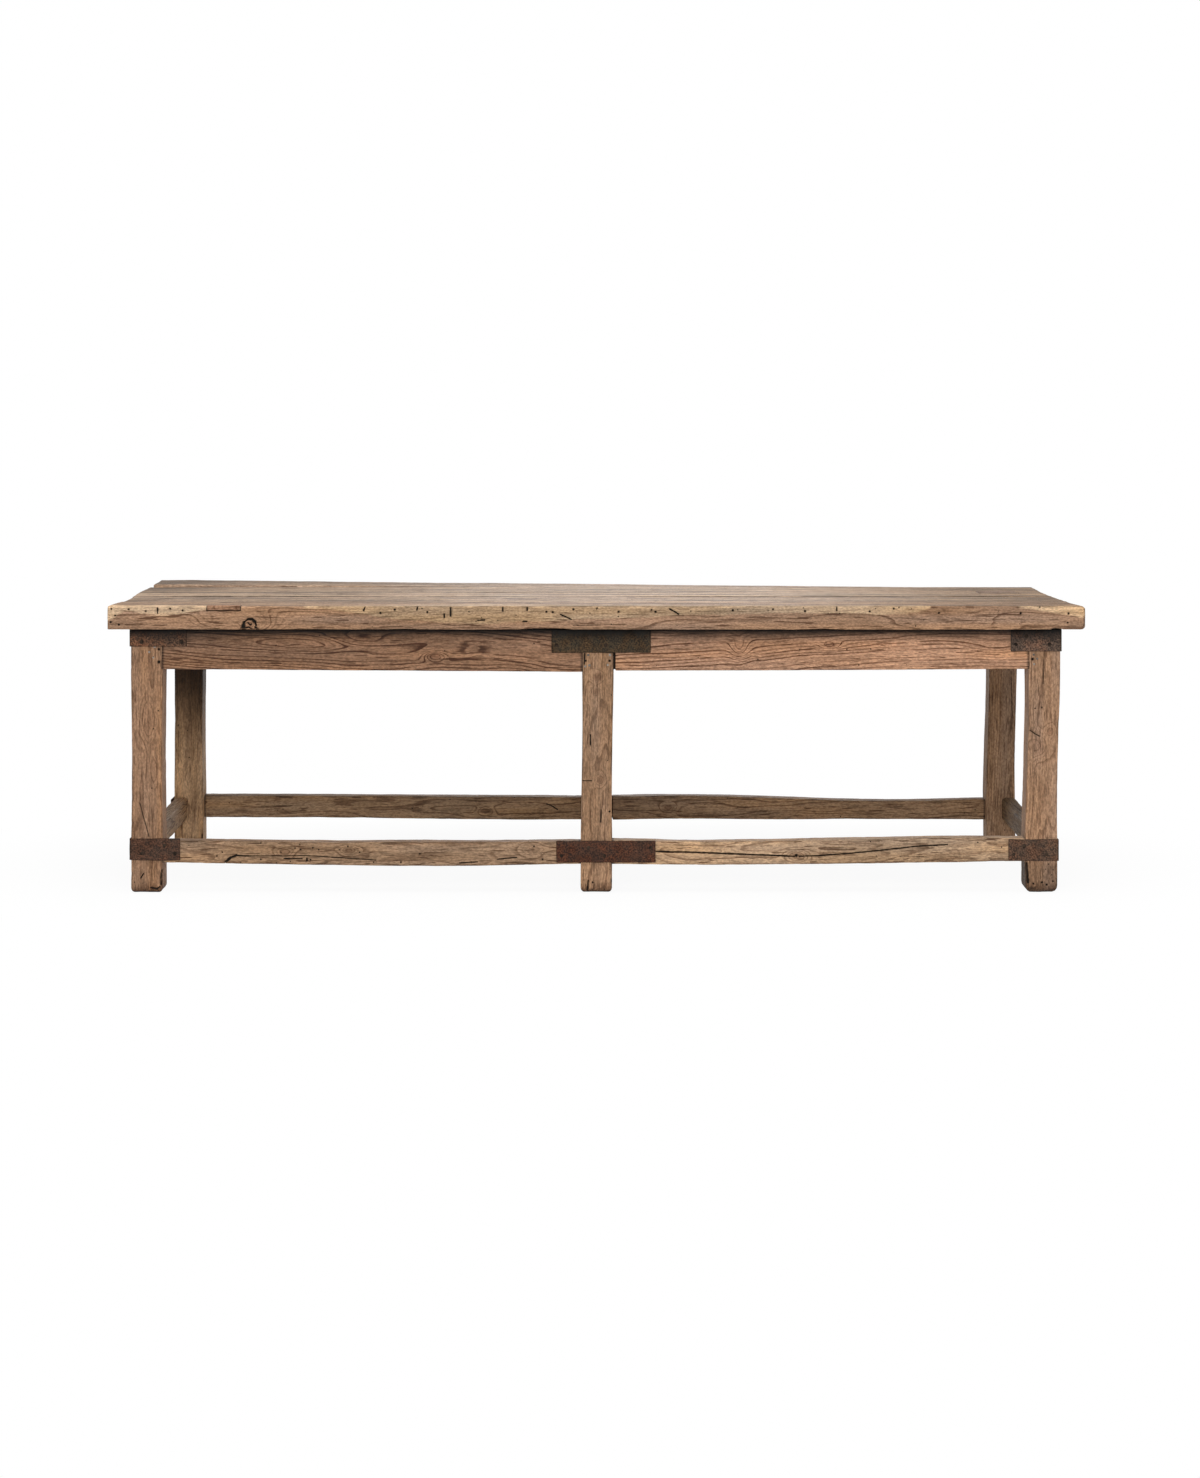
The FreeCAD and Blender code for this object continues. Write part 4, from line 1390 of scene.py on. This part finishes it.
PALE_HEADS = [
    (-1210, 653), (-1199, 638), (-1196, 667), (-20, 645), (39, 645), (33, 618), (-28, 614), (-17, 617),
    (1188, 646), (1197, 635), (1189, 620),
]
forged_heads = nail_tree()
places, facings = solid_nails()
nails = drive_nails(
    "strap_nail_heads", forged_heads, places, facings,
    {"Head radius": 5.2 * MM, "Head height": 2.2 * MM, "Facets": 8, "Seed": 5},
    nail_iron("forged_nail", (0.014, 0.009, 0.006, 1), (0.045, 0.030, 0.020, 1)),
)
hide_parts("strap_nails")
brads = drive_nails(
    "joint_brads", forged_heads,
    [(x, FRAME_FRONT + 0.5, z) for x, z in PALE_HEADS], [(0, -1, 0)] * len(PALE_HEADS),
    {"Head radius": 3.2 * MM, "Head height": 1.4 * MM, "Facets": 9, "Seed": 9},
    nail_iron("rubbed_brad", (0.10, 0.09, 0.08, 1), (0.34, 0.31, 0.27, 1)),
)

# Pegs and dowels keep their solids
peg = peg_wood()
for name in ("apron_pegs", "plank_dowels", "top_dowels"):
    NODES[name].data.materials.clear()
    NODES[name].data.materials.append(peg)


# Studio

CAMERA_PLACE = (11.9, -8005, 1377)
CAMERA_LENS = 68.1
CAMERA_SHIFT = -0.2395
SHADOW_SHARE = 0.07

camera = add_object("photo_camera", bpy.data.cameras.new("photo_camera"))
camera.data.lens = CAMERA_LENS
camera.data.sensor_width = 36
camera.data.shift_y = CAMERA_SHIFT
camera.data.clip_end = 100
camera.location = np.array(CAMERA_PLACE) * MM
camera.rotation_euler = (math.pi / 2, 0, 0)
bpy.context.scene.camera = camera


def softbox(name, place, target, size, watts):
    """A large soft lamp that looks at a point."""
    lamp = bpy.data.lights.new(name, "AREA")
    lamp.shape = "RECTANGLE"
    lamp.size, lamp.size_y = size
    lamp.energy = watts
    box = add_object(name, lamp)
    box.location = place
    way = np.array(target) - np.array(place)
    yaw = math.atan2(way[1], way[0])
    pitch = math.atan2(way[2], math.hypot(way[0], way[1]))
    box.rotation_euler = (pitch + math.pi / 2, 0, yaw - math.pi / 2)


softbox("key_softbox", (-0.2, -5, 2.6), (0, -0.3, 0.45), (3.2, 2.2), 135)
softbox("top_softbox", (0.2, -0.9, 4.2), (0, 0, 0.7), (4, 2.6), 130)
softbox("window", (0.2, 5.5, 1.6), (0, 0, 0.8), (2, 1.2), 60)


def seen_rays(graph):
    """1 for rays that the camera, a mirror or a glass sends, and 0 for those that light things."""
    kinds = ("Camera", "Glossy", "Transmission")
    camera_ray, mirror_ray, glass_ray = (
        graph.node("ShaderNodeLightPath", {}, f"Is {kind} Ray") for kind in kinds
    )
    return graph.math("MINIMUM", camera_ray + mirror_ray + glass_ray, 1)


world = bpy.data.worlds.new("studio")
bpy.context.scene.world = world
world.use_nodes = True
sky = Graph(world.node_tree)
dim = sky.node("ShaderNodeBackground", {"Color": (1, 1, 1, 1), "Strength": 0.28})
white = sky.node("ShaderNodeBackground", {"Color": (1, 1, 1, 1), "Strength": 1})
blend = sky.node("ShaderNodeMixShader", {0: seen_rays(sky), 1: dim, 2: white})
sky.node("ShaderNodeOutputWorld", {"Surface": blend})

# The floor is lit like paper, but what the camera sees of it fades to white away from the table
paper = Finish("white_floor")
fleck = paper.noise(paper.place(), 40, 2)
shade = paper.node("ShaderNodeBsdfDiffuse", {
    "Color": paper.mix(fleck, (0.86, 0.86, 0.86, 1), (0.9, 0.9, 0.9, 1)),
})
glow = paper.node("ShaderNodeEmission", {"Color": (1, 1, 1, 1), "Strength": 1})
flat_place = paper.stretched(paper.place(), (0.5, 1, 0))
away = paper.node("ShaderNodeVectorMath", {0: flat_place}, "Value", operation="LENGTH")
kept = (1 - paper.ramp(away, 0.5, 1.1)) * SHADOW_SHARE
mixed = paper.node("ShaderNodeMixShader", {0: seen_rays(paper) * (1 - kept), 1: shade, 2: glow})
paper.node("ShaderNodeOutputMaterial", {"Surface": mixed})
floor_mesh = bpy.data.meshes.new("floor")
FLOOR_HALF = 30
floor_corners = [(x * FLOOR_HALF, y * FLOOR_HALF, 0) for x, y in ((-1, -1), (1, -1), (1, 1), (-1, 1))]
floor_mesh.from_pydata(floor_corners, [], [(0, 1, 2, 3)])
floor_mesh.materials.append(paper.material)
floor = add_object("floor", floor_mesh)

bpy.context.scene.view_settings.view_transform = "Standard"
